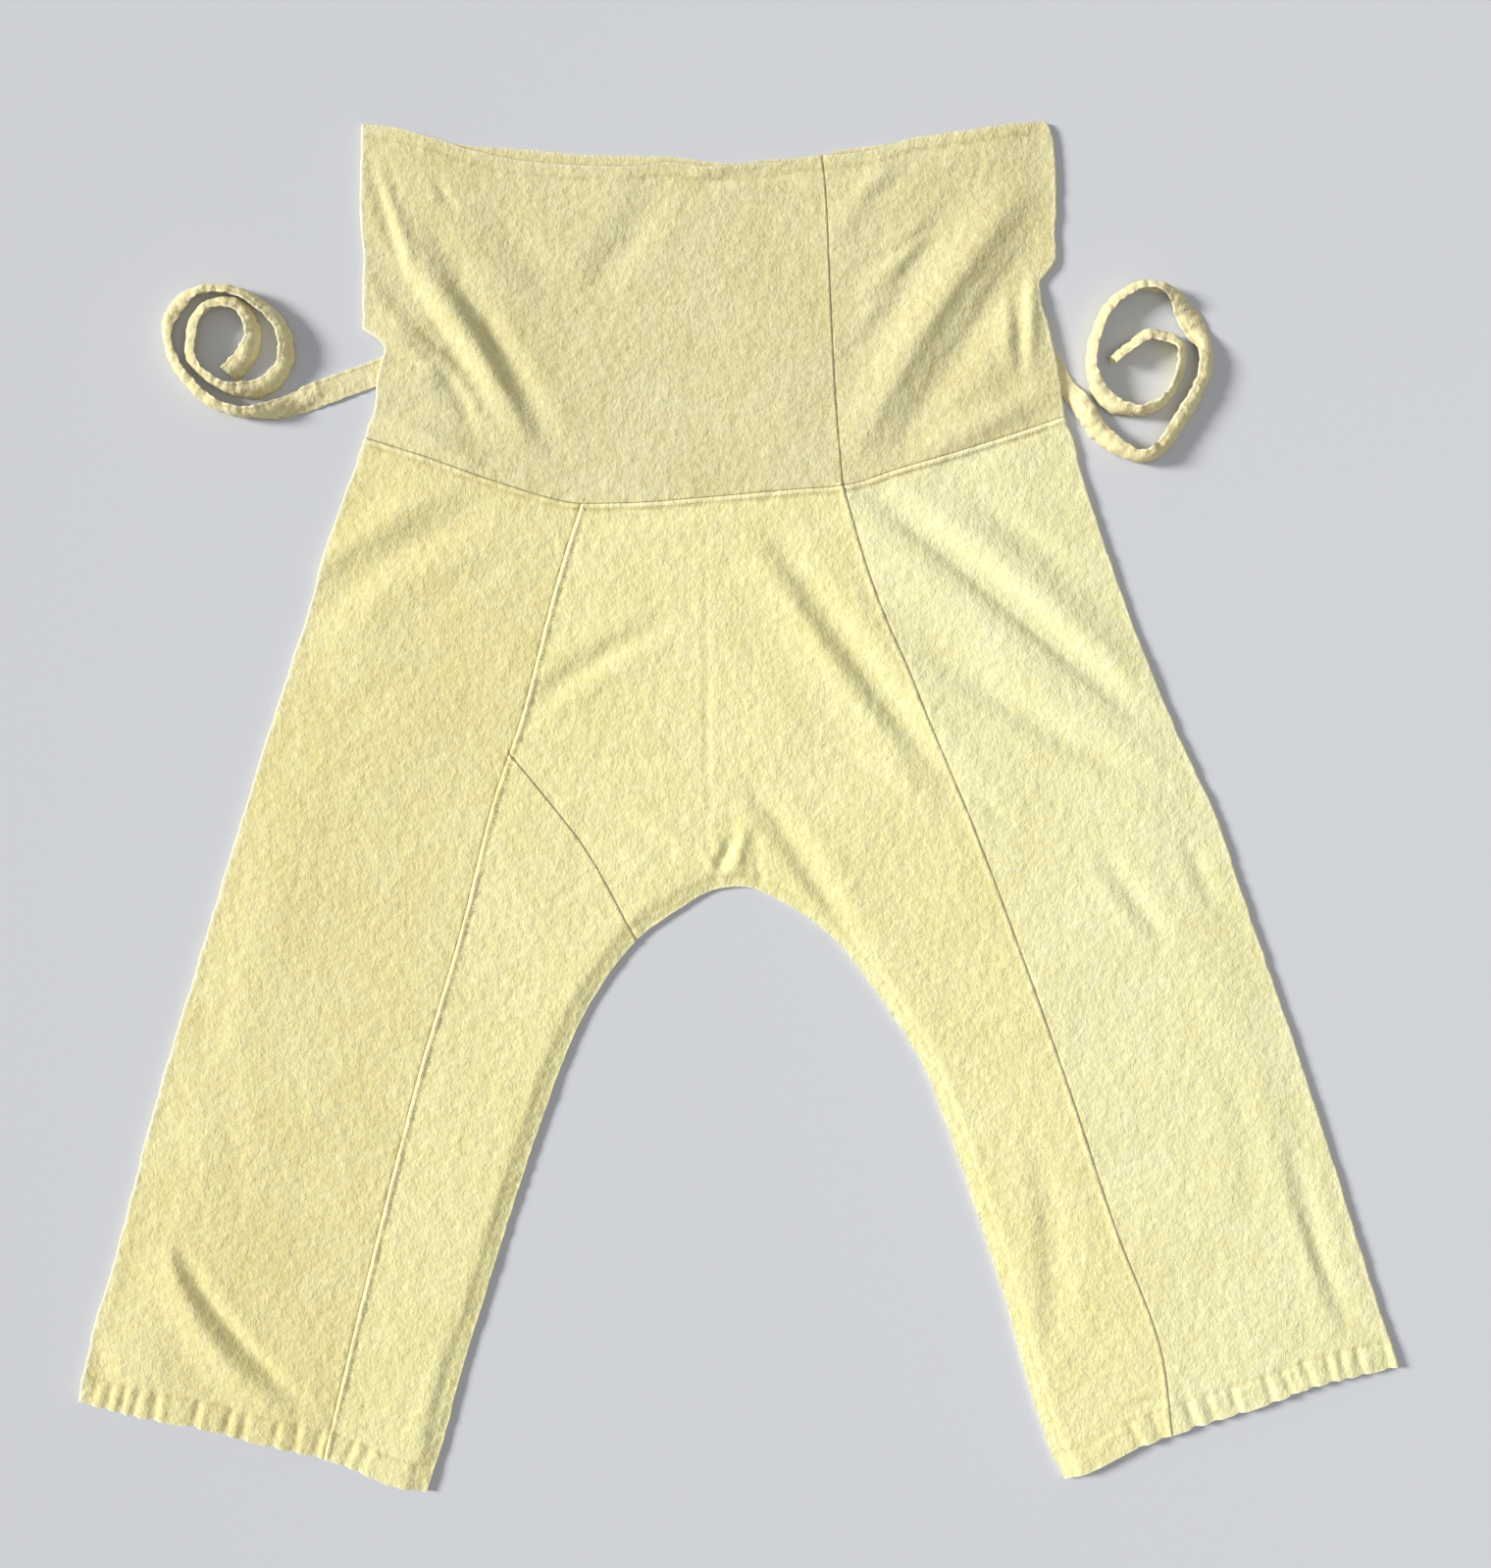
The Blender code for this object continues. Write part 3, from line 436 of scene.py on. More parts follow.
# %% Tables of creases
CREASE_COLUMNS = (
    "from_x", "from_y", "mid_x", "mid_y", "to_x", "to_y", "minus_flank", "plus_flank", "height"
)
WAISTBAND_CREASES = (
    (-272, 464, -222, 390, -163, 280, 15, 9, 4.6),
    (-289, 442, -236, 370, -190, 296, 11, 8, -3.2),
    (-254, 436, -197, 372, -138, 264, 7, 9, -2.0),
    (-287, 386, -228, 345, -196, 288, 8, 7, 2.6),
    (-264, 368, -228, 336, -204, 286, 5, 5, -1.6),
    (-300, 377, -272, 366, -242, 350, 6, 6, 2.6),
    (-292, 362, -268, 354, -242, 343, 4, 4, -2.2),
    (-291, 507, -274, 455, -261, 410, 4, 4, -1.4),
    (-284, 502, -266, 455, -253, 410, 5, 5, 1.2),
    (-202, 480, -166, 430, -126, 394, 14, 14, -1.8),
    (-60, 492, -88, 440, -124, 400, 12, 12, -1.8),
    (-292, 303, -244, 290, -198, 269, 8, 8, 2.4),
    (-32, 486, 8, 495, 54, 488, 5, 5, -2.2),
    (234, 494, 160, 396, 90, 274, 18, 9, 4.8),
    (248, 464, 184, 374, 116, 266, 7, 15, -3.2),
    (148, 468, 122, 418, 86, 362, 12, 7, 1.8),
    (124, 513, 100, 480, 70, 442, 9, 7, 1.4),
    (221, 420, 219, 378, 222, 334, 5, 5, -2.0),
    (229, 422, 228, 385, 231, 348, 4, 6, 1.6),
    (248, 331, 200, 303, 138, 274, 9, 9, 2.4),
)
LEG_CREASES = (
    (92, 248, 176, 190, 322, 62, 6, 12, -3.6),
    (78, 234, 160, 170, 292, 58, 22, 9, 2.6),
    (118, 256, 200, 196, 332, 82, 9, 16, 2.2),
    (143, 126, 235, 66, 340, 12, 8, 12, -2.6),
    (18, 226, 96, 112, 177, 0, 8, 12, -3.0),
    (2, 216, 80, 102, 160, -8, 16, 8, 1.8),
    (0, 26, 45, -34, 108, -138, 7, 10, -2.4),
    (282, -34, 312, -74, 338, -112, 7, 8, -1.8),
    (349, -24, 362, -50, 374, -82, 6, 6, -1.3),
    (184, 233, 224, 212, 262, 182, 8, 8, -1.4),
    (229, -256, 244, -330, 246, -428, 8, 12, -1.4),
    (433, -260, 447, -324, 480, -416, 6, 8, -2.0),
    (-348, 136, -292, 186, -193, 237, 14, 14, -2.4),
    (-352, 154, -300, 206, -203, 253, 12, 12, 1.4),
    (-170, 66, -128, 104, -52, 147, 8, 8, -2.0),
    (-166, 51, -108, 38, -48, 36, 6, 6, -1.4),
    (-132, -6, -92, -14, -44, -42, 8, 8, -1.3),
    (-448, -344, -416, -412, -350, -480, 15, 5, 3.4),
    (-441, -338, -406, -400, -340, -470, 4, 7, -2.0),
    (-507, -418, -502, -436, -493, -454, 8, 8, -1.6),
    (0, -20, -12, -40, -18, -61, 4, 4, -2.0),
    (9, -8, 2, -30, -4, -63, 5, 5, 1.6),
)
SMALL_CREASES = (
    (-240, 498, -230, 479, -220, 462, 4, 4, -0.9),
    (-189, 388, -196, 377, -193, 358, 3, 4, -1.2),
    (-25, 228, -25, 120, -23, -40, 2.5, 2.5, -0.5),
    (-24, -6, -16, -32, -10, -60, 4, 4, 0.5),
    (-44, -64, -34, -54, -20, -43, 4, 4, -0.7),
    (-30, -30, -20, -46, -8, -58, 3, 3, 0.9),
    (14, -30, 16, -50, 20, -66, 3, 3, -0.8),
    (-214, -398, -232, -455, -243, -512, 5, 5, -1.3),
    (-118, 226, -80, 226, -30, 232, 4, 4, -0.7),
    (-110, 214, -60, 214, 10, 224, 6, 6, 0.5),
    (300, -470, 318, -468, 336, -470, 4, 4, -1.3),
    (84, 470, 104, 476, 132, 492, 5, 5, -0.9),
    (96, 424, 128, 438, 168, 470, 4, 4, -0.8),
    (86, 386, 112, 402, 150, 440, 4, 4, -0.7),
    (-160, 20, -150, 12, -140, -2, 3, 3, -0.6),
    (-92, -92, -84, -98, -74, -104, 3, 3, -1.0),
    (-30, 180, 30, 196, 78, 190, 7, 7, -0.6),
    (170, 20, 190, 6, 214, -18, 6, 6, -0.9),
    (96, 60, 128, 40, 150, 8, 6, 8, -0.9),
    (-250, 150, -214, 176, -168, 190, 9, 9, -0.7),
    (-330, 60, -270, 96, -214, 120, 10, 10, -0.6),
    (380, -180, 396, -250, 404, -330, 10, 10, -0.8),
    (-420, -150, -400, -240, -392, -330, 12, 12, -0.6),
)
BACK_CREASES = (
    (-240, 470, -180, 400, -150, 300, 10, 10, 0.5),
    (200, 480, 150, 400, 130, 290, 10, 10, 0.5),
    (60, 230, -40, 120, -150, 10, 9, 9, 0.5),
    (-60, 230, 60, 110, 160, -10, 9, 9, 0.5),
    (-330, 120, -270, 60, -200, 40, 8, 8, 0.45),
    (330, 60, 290, 20, 240, -10, 8, 8, 0.45),
    (-430, -200, -380, -260, -330, -340, 8, 8, 0.4),
    (440, -260, 400, -320, 350, -380, 8, 8, 0.4),
    (-20, -10, -10, -35, -6, -60, 5, 5, 0.5),
)


CREASE_ENDS, CREASE_SHOULDER = 0.8, 0.3


def crease_line(row, n=9):
    c = dict(zip(CREASE_COLUMNS, row))
    a, m, b = (np.array([c[k + "_x"], c[k + "_y"]], float) for k in ("from", "mid", "to"))
    t = np.linspace(0, 1, n)[:, None]
    return a * (1 - t) * (1 - 2 * t) + m * 4 * t * (1 - t) + b * t * (2 * t - 1), c


def crease_rise(points, table):
    rise = np.zeros(len(points))
    for row in table:
        line, c = crease_line(row)
        middle, lean = (c["plus_flank"] + c["minus_flank"]) / 2, (c["plus_flank"] - c["minus_flank"]) / 2
        some = within(points, line, 4 * (middle + abs(lean)))
        if some.any():
            d, along, off, _ = to_chain(points[some], line)
            near = d / (middle + lean * off[:, 0] / np.maximum(d, 1e-9))
            length = np.linalg.norm(np.diff(line, axis=0), axis=1).sum()
            rise[some] += (
                c["height"] * np.sin(np.pi * np.clip(along / length, 0, 1)) ** CREASE_ENDS
                * (hump(near) - CREASE_SHOULDER * hump(near - 2))
            )
    return rise


print(
    "creases:", len(WAISTBAND_CREASES) + len(LEG_CREASES) + len(SMALL_CREASES), "on the front,",
    len(BACK_CREASES), "on the back",
)

# %% [markdown]
# ## Sewing
# A felled seam folds one panel's edge under the next one and stitches it down, so it shows as a fine
# dark line, a narrow raised strip and a second, fainter line. The strip is raised on the height
# map. Both lines are also kept in a colour attribute named "seam", partly a deeper yellow of the
# cloth and partly painted shade, and the strip gets a painted highlight. Hems work the same way.

# %% Seams and hems in the cloth
FELL_RISE, LINE_DEPTH, LINE_HALF, LINE_BESIDE = 0.62, 0.5, 0.9, 0.2
SEAM_REACH, SEAM_DRAW = 24, 6.5
INNER_FELL, INNER_DRAW = 9.0, 8.0
WAIST_HEM, WAIST_DRAW, WAIST_FROM = 10.0, 7.0, 440
LEG_HEM, HEM_REACH = 21.0, 60
SEAM_STEP = 12
diagonal_rows = [(float(left_seam(DIAGONAL_TOP)), DIAGONAL_TOP), *zip(DIAGONAL["across"], DIAGONAL["up"])]
front_diagonal, _ = smooth_rows([*diagonal_rows, INNER[INNER_ROWS[LEFT_DIAGONAL_ROW]]], EDGE_STEP)
back_rows = [(float(back_right(DIAGONAL_TOP)), DIAGONAL_TOP), *((-x, y) for x, y in diagonal_rows[1:])]
back_diagonal, _ = smooth_rows([*back_rows, INNER[INNER_ROWS[RIGHT_DIAGONAL_ROW]]], EDGE_STEP)
waist_chain = spread(waist_up, -296, 262, SEAM_STEP)
# Each row: the seam's chain, the side that its strip lies on, and the strip's width in millimetres.
FRONT_SEAMS = (
    (waist_chain, -1, 4.6),
    (run(band_seam, 512, tops[right_seam], SEAM_STEP), -1, 3.6),
    (whole(left_seam, SEAM_STEP), 1, 4.2),
    (whole(right_seam, SEAM_STEP), -1, 4.2),
    (front_diagonal[::4], -1, 3.8),
)
BACK_SEAMS = (
    (waist_chain, -1, 4.6),
    (whole(back_left, SEAM_STEP), 1, 4.2),
    (whole(back_right, SEAM_STEP), -1, 4.2),
    (back_diagonal[::4], 1, 3.8),
)


def speckle(points, wave, seed, octaves=2):
    """Soft noise over the cloth, about -1 to 1."""
    return 1.5 * np.array([
        noise.fractal(Vector((x / wave, y / wave, seed)), 1.0, 2.0, octaves) for x, y in points
    ])


def seam_rise(points, seams):
    """Height and tone from felled seams. The tone is painted shade with a deeper yellow above zero, and a
    painted highlight below it on the strip.
    """
    rise, dark = np.zeros(len(points)), np.zeros(len(points))
    for number, (chain, hand, width) in enumerate(seams):
        some = within(points, chain, SEAM_REACH)
        if not some.any():
            continue
        d, along, _, side = to_chain(points[some], chain)
        s = d * side * hand
        drawn = ripple(along, SEAM_DRAW, 11.0 + number)
        strip = ease((s - 0.1) / 1.7) - ease((s - width + 0.7) / 1.3)
        rise[some] += (
            FELL_RISE * strip * (1 + 0.3 * drawn)
            - 0.5 * LINE_DEPTH * hump(s / LINE_HALF)
            - LINE_DEPTH * hump((s - width - LINE_BESIDE) / LINE_HALF) * (1 + 0.5 * drawn)
            + 0.26 * drawn * hump(s / 9)
        )
        # Painted shade with a deeper yellow on the two stitched lines, and a painted highlight on the raised
        # strip between them.
        dark[some] = np.maximum(dark[some], 0.8 * hump(s / 0.7))
        dark[some] = np.maximum(dark[some], (0.75 + 0.25 * drawn) * hump((s - width - LINE_BESIDE) / 0.8))
        dark[some] -= (1 + 0.3 * drawn) * hump((s - width / 2) / (0.24 * width))
    return rise, dark


def hem_profile(inward, width, step, soft, groove, half, drawn=0.0, pull=0.0):
    """A folded hem: a step at its stitched line, and the groove that the line presses in."""
    return step * ease((width - inward) / soft) - groove * hump((inward - width) / half) * (1 + pull * drawn)


def edge_rise(points, front):
    """Height and tone from the felled inner edge, the waist hem and the leg hems: painted shade with a deeper
    yellow on their stitched lines, and painted shade in the puckers.
    """
    d, along, _, _ = to_chain(points, INNER_COARSE)
    drawn = ripple(along, INNER_DRAW, 2.2)
    rise = hem_profile(d, INNER_FELL, 0.3, 2.0, 0.4, 1.2, drawn, 0.4)
    rise += 0.3 * drawn * hump((d - 6) / 8)
    dark = (0.45 + 0.15 * drawn) * hump((d - INNER_FELL) / LINE_HALF)
    x, y = points[:, 0], points[:, 1]
    band = y > WAIST_FROM
    if band.any():
        down = (front_top if front else back_top)(x[band]) - y[band]
        # On the inside of the back band, a painted shadow just above the front layer's edge.
        if not front:
            dark[band] = np.maximum(dark[band], hump((y[band] - front_top(x[band])) / 2.2))
        drawn = ripple(x[band], WAIST_DRAW, 4.4)
        rise[band] += hem_profile(down, WAIST_HEM, 0.35, 1.6, 0.4, 1.1, drawn, 0.5)
        rise[band] += 0.3 * drawn * hump((down - 7) / 8)
        dark[band] = np.maximum(dark[band], (0.6 + 0.25 * drawn) * hump((down - WAIST_HEM) / LINE_HALF))
    for table, puckers in ((LEFT_HEM, LEFT_PUCKERS), (RIGHT_HEM, RIGHT_PUCKERS)):
        some = within(points, np.column_stack([table["across"], table["up"]]), HEM_REACH)
        if not some.any():
            continue
        px, py = x[some], y[some]
        grade = (height_at(table, px + 4) - height_at(table, px - 4)) / 8
        h = (py - height_at(table, px)) / np.sqrt(1 + grade**2)
        foot = px + grade * h
        in_band = ease((LEG_HEM + 2 - h) / 4) * 0.9 + 0.1
        above = ease((LEG_HEM + 15 - h) / 15)
        lift = hem_profile(h, LEG_HEM, 0.4, 1.8, 0.55, 1.3)
        share = 1.0 if front else BACK_PUCKER
        for at, depth, half in puckers:
            way = (foot - at) / half
            lift -= share * depth * in_band * above * (hump(way) - 0.35 * hump((way - 2.2) / 1.2))
        rise[some] += lift
        # The hem's stitched line gets painted shade with a deeper yellow, and each pucker painted shade in
        # its hollow.
        dark[some] = np.maximum(dark[some], 0.55 * hump((h - LEG_HEM) / LINE_HALF))
        for at, depth, half in puckers:
            dark[some] = np.maximum(
                dark[some], 0.3 * depth / FULL_PUCKER * in_band * above * hump((foot - at) / half)
            )
    return rise, dark


print("felled seams:", len(FRONT_SEAMS), "on the front,", len(BACK_SEAMS), "on the back")

# %% [markdown]
# ## How high the cloth lies
# The back layer lies on the floor, lifted only where it covers the sewn ends of the ties. The front
# layer lies on it, a little fuller away from the folds, plus its creases, its sewing and its
# crinkle. It never sinks into the back layer, and it comes down to it at the inner edge.

# %% Height of the two layers
WALL = 1.2
GAP = 0.3
EDGE_RISE, BODY_RISE, FOLD_SOFT, SEWN_SOFT = 1.1, 2.1, 55.0, 16.0
ROOT_LIFT, ROOT_NEAR, ROOT_FAR = 2.0, 15.0, 42.0
BACK_DENT, BACK_SEWING, BACK_CRINKLE, BACK_MOST = 0.45, 0.35, 0.5, 1.1
CRINKLE, CRINKLE_WAVE = 0.36, 6.5
SWELL, SWELL_WAVE = 0.55, 70.0
FRONT_LEAST, FRONT_LIFT, INNER_SOFT = 0.35, 0.3, 5
# Where the sewn ends of the ties lie under the waistband.
LEFT_ROOT = ((-256, 352), (-270, 347), (-284, 341))
RIGHT_ROOT = ((232, 372), (238, 361), (244, 351), (251, 340), (259, 328))


def root_lift(points):
    up = np.zeros(len(points))
    for root in (LEFT_ROOT, RIGHT_ROOT):
        chain = np.array(root, float)
        some = within(points, chain, ROOT_FAR)
        d = to_chain(points[some], chain)[0]
        up[some] = np.maximum(up[some], ROOT_LIFT * ease((ROOT_FAR - d) / (ROOT_FAR - ROOT_NEAR)))
    return up


def heights(points, front):
    """Middle of the cloth above the floor, and its tone from sewing, hems and edges: painted shade with a
    deeper yellow, and painted highlight below zero.
    """
    to_inner = to_chain(points, INNER_COARSE)[0]
    seams, dark = seam_rise(points, FRONT_SEAMS if front else BACK_SEAMS)
    edges, edge_dark = edge_rise(points, front)
    dark = np.where(edge_dark > 0.1, np.maximum(dark, edge_dark), dark + edge_dark)
    crinkle = CRINKLE * speckle(points, CRINKLE_WAVE, 1.5 if front else 7.5)
    base = WALL / 2 + root_lift(points)
    if not front:
        dent = BACK_DENT + BACK_SEWING * (seams + edges) + BACK_CRINKLE * crinkle
        dent = dent - crease_rise(points, BACK_CREASES)
        return base + np.clip(dent, 0.0, BACK_MOST) * ease(to_inner / INNER_SOFT), dark
    x, y = points[:, 0], points[:, 1]
    to_fold = np.maximum(0, np.minimum(x - fold_line(-1, y), fold_line(1, y) - x))
    rise = EDGE_RISE + BODY_RISE * ease(to_fold / FOLD_SOFT)
    rise += crease_rise(points, WAISTBAND_CREASES + LEG_CREASES + SMALL_CREASES)
    rise += SWELL * speckle(points, SWELL_WAVE, 4.0, 1) * ease(to_fold / 30)
    rise = 0.5 * (rise + np.sqrt(rise**2 + 0.3)) * ease(to_inner / SEWN_SOFT)
    floor_of_front = FRONT_LEAST * ease(to_inner / INNER_SOFT)
    rise = rise + (seams + edges + crinkle) + FRONT_LIFT
    rise = floor_of_front + 0.5 * (rise - floor_of_front + np.sqrt((rise - floor_of_front) ** 2 + 0.04))
    return base + WALL + GAP + rise, dark


sample = np.array([(0.0, 400.0), (-200.0, 355.0), (160.0, 396.0), (-300.0, -300.0)])
print("front height at four places, mm:", np.round(heights(sample, True)[0], 2))

# %% [markdown]
# ## From outline to mesh
# A layer's points come from three places: its edge, a few rows just inside the edge so that seams
# stay crisp, and a staggered grid over the rest. A Delaunay triangulation joins them into even
# triangles. That is simpler than bending a square grid into the forked shape of the centre panel.

# %% Points and triangles of one layer
FRONT_STEP, BACK_STEP = 2.6, 5.2
FRONT_ROWS, BACK_ROWS = (0.9, 2.0, 3.3, 5.0), (1.2, 3.6)
NEAR_EDGE, TOO_CLOSE, GRID_CLEAR = 0.82, 0.36, 0.5
NEARLY_STRAIGHT, RIM_HALF = 0.15, 1.5


def inset(edges):
    """One ring of points from a layer's edges in order, moved in by each edge's own gap."""
    ring = np.concatenate([points[:-1] for points, _ in edges])
    gaps = np.concatenate([np.full(len(points) - 1, gap, float) for points, gap in edges])
    turn = np.sign(cross(ring, np.roll(ring, -1, axis=0)).sum())
    way = np.roll(ring, -1, axis=0) - ring
    way /= np.linalg.norm(way, axis=1)[:, None]
    normal = turn * left_of(way)
    moved = np.empty_like(ring)
    for i, point in enumerate(ring):
        n, g = np.array([normal[i - 1], normal[i]]), np.array([gaps[i - 1], gaps[i]])
        if abs(np.linalg.det(n)) < NEARLY_STRAIGHT:
            mean = n.sum(axis=0)
            moved[i] = point + mean / np.linalg.norm(mean) * g.max()
        else:
            moved[i] = point + np.linalg.solve(n, g)
    return moved, gaps, normal + np.roll(normal, 1, axis=0)


def inside(points, polygon):
    hit = np.zeros(len(points), bool)
    for (ax, ay), (bx, by) in zip(polygon, np.roll(polygon, -1, axis=0)):
        spans = np.nonzero((ay > points[:, 1]) != (by > points[:, 1]))[0]
        at = ax + (points[spans, 1] - ay) * (bx - ax) / ((by - ay) or 1e-12)
        hit[spans] ^= points[spans, 0] < at
    return hit


def nearest(points, others):
    tree = KDTree(len(others))
    for i, (x, y) in enumerate(others):
        tree.insert((x, y, 0.0), i)
    tree.balance()
    return np.array([tree.find((x, y, 0.0))[2] for x, y in points])


def grid(ring, step):
    low, high = ring.min(axis=0), ring.max(axis=0)
    ys = np.arange(low[1], high[1], step * math.sqrt(3) / 2)
    xs = np.arange(low[0], high[0], step)
    return np.array([(x + (j % 2) * step / 2, y) for j, y in enumerate(ys) for x in xs])


def corners_of(points, faces):
    return (points[faces[:, k]] for k in range(3))


def triangulate(edges, front, extra=()):
    """The layer's ring of edge points, all its points, its triangles, and how near each is to an outer edge,
    for a painted highlight there.
    """
    ring, gaps, normal = inset(edges)
    normal = normal / np.linalg.norm(normal, axis=1)[:, None]
    step, rows = (FRONT_STEP, FRONT_ROWS) if front else (BACK_STEP, BACK_ROWS)
    found = []
    for k, depth in enumerate(rows):
        row = ring + depth * normal
        row = row if front else row[k % 2::2]
        found.append(row[inside(row, ring)])
    found += [chain[inside(chain, ring)] for chain in extra]
    own = np.concatenate(found)
    own = own[nearest(own, ring) > NEAR_EDGE * rows[0]]
    _, first = np.unique(np.round(own / (TOO_CLOSE * step)).astype(int), axis=0, return_index=True)
    own = own[np.sort(first)]
    inner_points = grid(ring, step)
    inner_points = inner_points[inside(inner_points, ring)]
    inner_points = inner_points[nearest(inner_points, ring) > rows[-1] + GRID_CLEAR * step]
    points = np.concatenate([ring, own, inner_points])
    n = len(ring)
    border = [(i, (i + 1) % n) for i in range(n)]
    out, _, faces, origin, _, _ = delaunay_2d_cdt([Vector(p) for p in points], border, [], 1, 1e-6)
    source = np.array([ids[0] for ids in origin])
    faces = source[np.array(faces)]
    a, b, c = corners_of(points, faces)
    flip = cross(b - a, c - a) < 0
    faces[flip] = faces[flip][:, ::-1]
    outer = ring[gaps == 0]
    # Points near an outer edge get a painted highlight along it.
    rim = np.zeros(len(points))
    if len(outer):
        rim[:n + len(own)] = hump(nearest(points[:n + len(own)], outer) / RIM_HALF)
    return ring, points, faces, rim


print("spacing of the front layer", FRONT_STEP, "mm, of the back layer", BACK_STEP, "mm")

# %% [markdown]
# ## A panel as a closed shell
# A panel is first a surface with no thickness: its layers, joined round a side fold where it has
# one. Each point also knows which way is out. Moving the surface half a wall out and half a wall in,
# and closing the rim between the two, gives a thin shell like real cloth.

# %% A panel as a closed shell
FOLD_ANGLES = tuple(math.radians(a) for a in range(75, -76, -15))


def split_quads(a, b, c, d):
    return np.concatenate([np.column_stack([a, b, c]), np.column_stack([a, c, d])])


def shell_faces(faces, n):
    """The outer faces, the inner ones n points further on, and the rim between them."""
    edges = np.concatenate([faces[:, [0, 1]], faces[:, [1, 2]], faces[:, [2, 0]]])
    there, back = edges[:, 0] * n + edges[:, 1], edges[:, 1] * n + edges[:, 0]
    a, b = edges[~np.isin(there, back)].T
    return np.concatenate([
        faces, faces[:, ::-1] + n, np.column_stack([b, a, a + n]), np.column_stack([b, a + n, b + n])
    ])


class Cloth:
    """Layers and folds of one panel, gathered until they become a shell."""

    def __init__(self, name):
        self.name = name
        self.points, self.out, self.faces, self.tone, self.count = [], [], [], [], 0

    def add(self, points, out, faces, tone):
        start = self.count
        self.points.append(points)
        self.out.append(out)
        self.tone.append(tone)
        if len(faces):
            self.faces.append(faces + start)
        self.count += len(points)
        return start

    def layer(self, edges, front, extra=()):
        """A flat layer inside its edges. Returns where each edge's points are."""
        ring, points, faces, rim = triangulate(edges, front, extra)
        height, dark = heights(points, front)
        out = np.zeros((len(points), 3))
        out[:, 2] = 1.0 if front else -1.0
        start = self.add(
            np.column_stack([points, height]), out, faces if front else faces[:, ::-1],
            np.column_stack([dark, rim]),
        )
        at, spans = 0, []
        for edge, _ in edges:
            spans.append(start + (at + np.arange(len(edge))) % len(ring))
            at += len(edge) - 1
        return spans

    def fold(self, front_edge, back_edge, side):
        """The half-round side between two edges that lie one above the other."""
        every = np.concatenate(self.points)
        top, bottom = every[front_edge], every[back_edge]
        middle, radius = (top + bottom) / 2, (top[:, 2:] - bottom[:, 2:]) / 2
        rows = [np.asarray(front_edge)]
        for angle in FOLD_ANGLES:
            radial = np.array([side * math.cos(angle), 0.0, math.sin(angle)])
            # The fold's strips get the same painted highlight as an outer edge.
            tone = np.column_stack([np.zeros(len(middle)), np.full(len(middle), 0.8)])
            start = self.add(middle + radius * radial, np.tile(radial, (len(middle), 1)), [], tone)
            rows.append(start + np.arange(len(middle)))
        rows.append(np.asarray(back_edge))
        every, out = np.concatenate(self.points), np.concatenate(self.out)
        for upper, lower in zip(rows, rows[1:]):
            faces = split_quads(upper[:-1], upper[1:], lower[1:], lower[:-1])
            p, q, r = corners_of(every, faces)
            facing = (np.cross(q - p, r - p) * sum(corners_of(out, faces))).sum(axis=1)
            faces[facing < 0] = faces[facing < 0][:, ::-1]
            self.faces.append(faces)

    def shell(self, material):
        points, out, faces = np.concatenate(self.points), np.concatenate(self.out), np.concatenate(self.faces)
        tone, n = np.concatenate(self.tone), len(points)
        both = np.concatenate([points + out * WALL / 2, points - out * WALL / 2])
        return mesh_piece(self.name, both, shell_faces(faces, n), material, {
            "seam": np.tile(tone[:, 0], 2), "rim": np.tile(tone[:, 1], 2),
        })


def mesh_piece(name, points, faces, material, attributes):
    mesh = bpy.data.meshes.new(name)
    mesh.vertices.add(len(points))
    mesh.vertices.foreach_set("co", (points * MM).astype(np.float32).ravel())
    mesh.loops.add(faces.size)
    mesh.loops.foreach_set("vertex_index", faces.astype(np.int32).ravel())
    mesh.polygons.add(len(faces))
    mesh.polygons.foreach_set("loop_start", np.arange(0, faces.size, 3, dtype=np.int32))
    mesh.update(calc_edges=True)
    mesh.shade_smooth()
    mesh.set_sharp_from_angle(angle=math.radians(60))
    for key, values in attributes.items():
        mesh.attributes.new(key, "FLOAT", "POINT").data.foreach_set("value", values.astype(np.float32))
    mesh.materials.append(material)
    print(f"{name}: {len(faces)} triangles")
    return put(name, mesh)


print("a side fold turns in", len(FOLD_ANGLES) + 1, "strips")

# %% [markdown]
# ## Crinkled cotton
# The real cloth is a soft, matt, washed cotton in pale yellow. Up close it is pebbled: crinkles two
# to four millimetres across, with a fine weave, a few thick threads and the odd dark speck. The
# crinkle tops are painted whiter, a painted highlight, and the hollows darker and yellower, painted
# shade. Noise on Object coordinates makes all of these, so the pattern stays fixed to the cloth. The
# mesh carries the larger crinkles and a bump carries the rest.

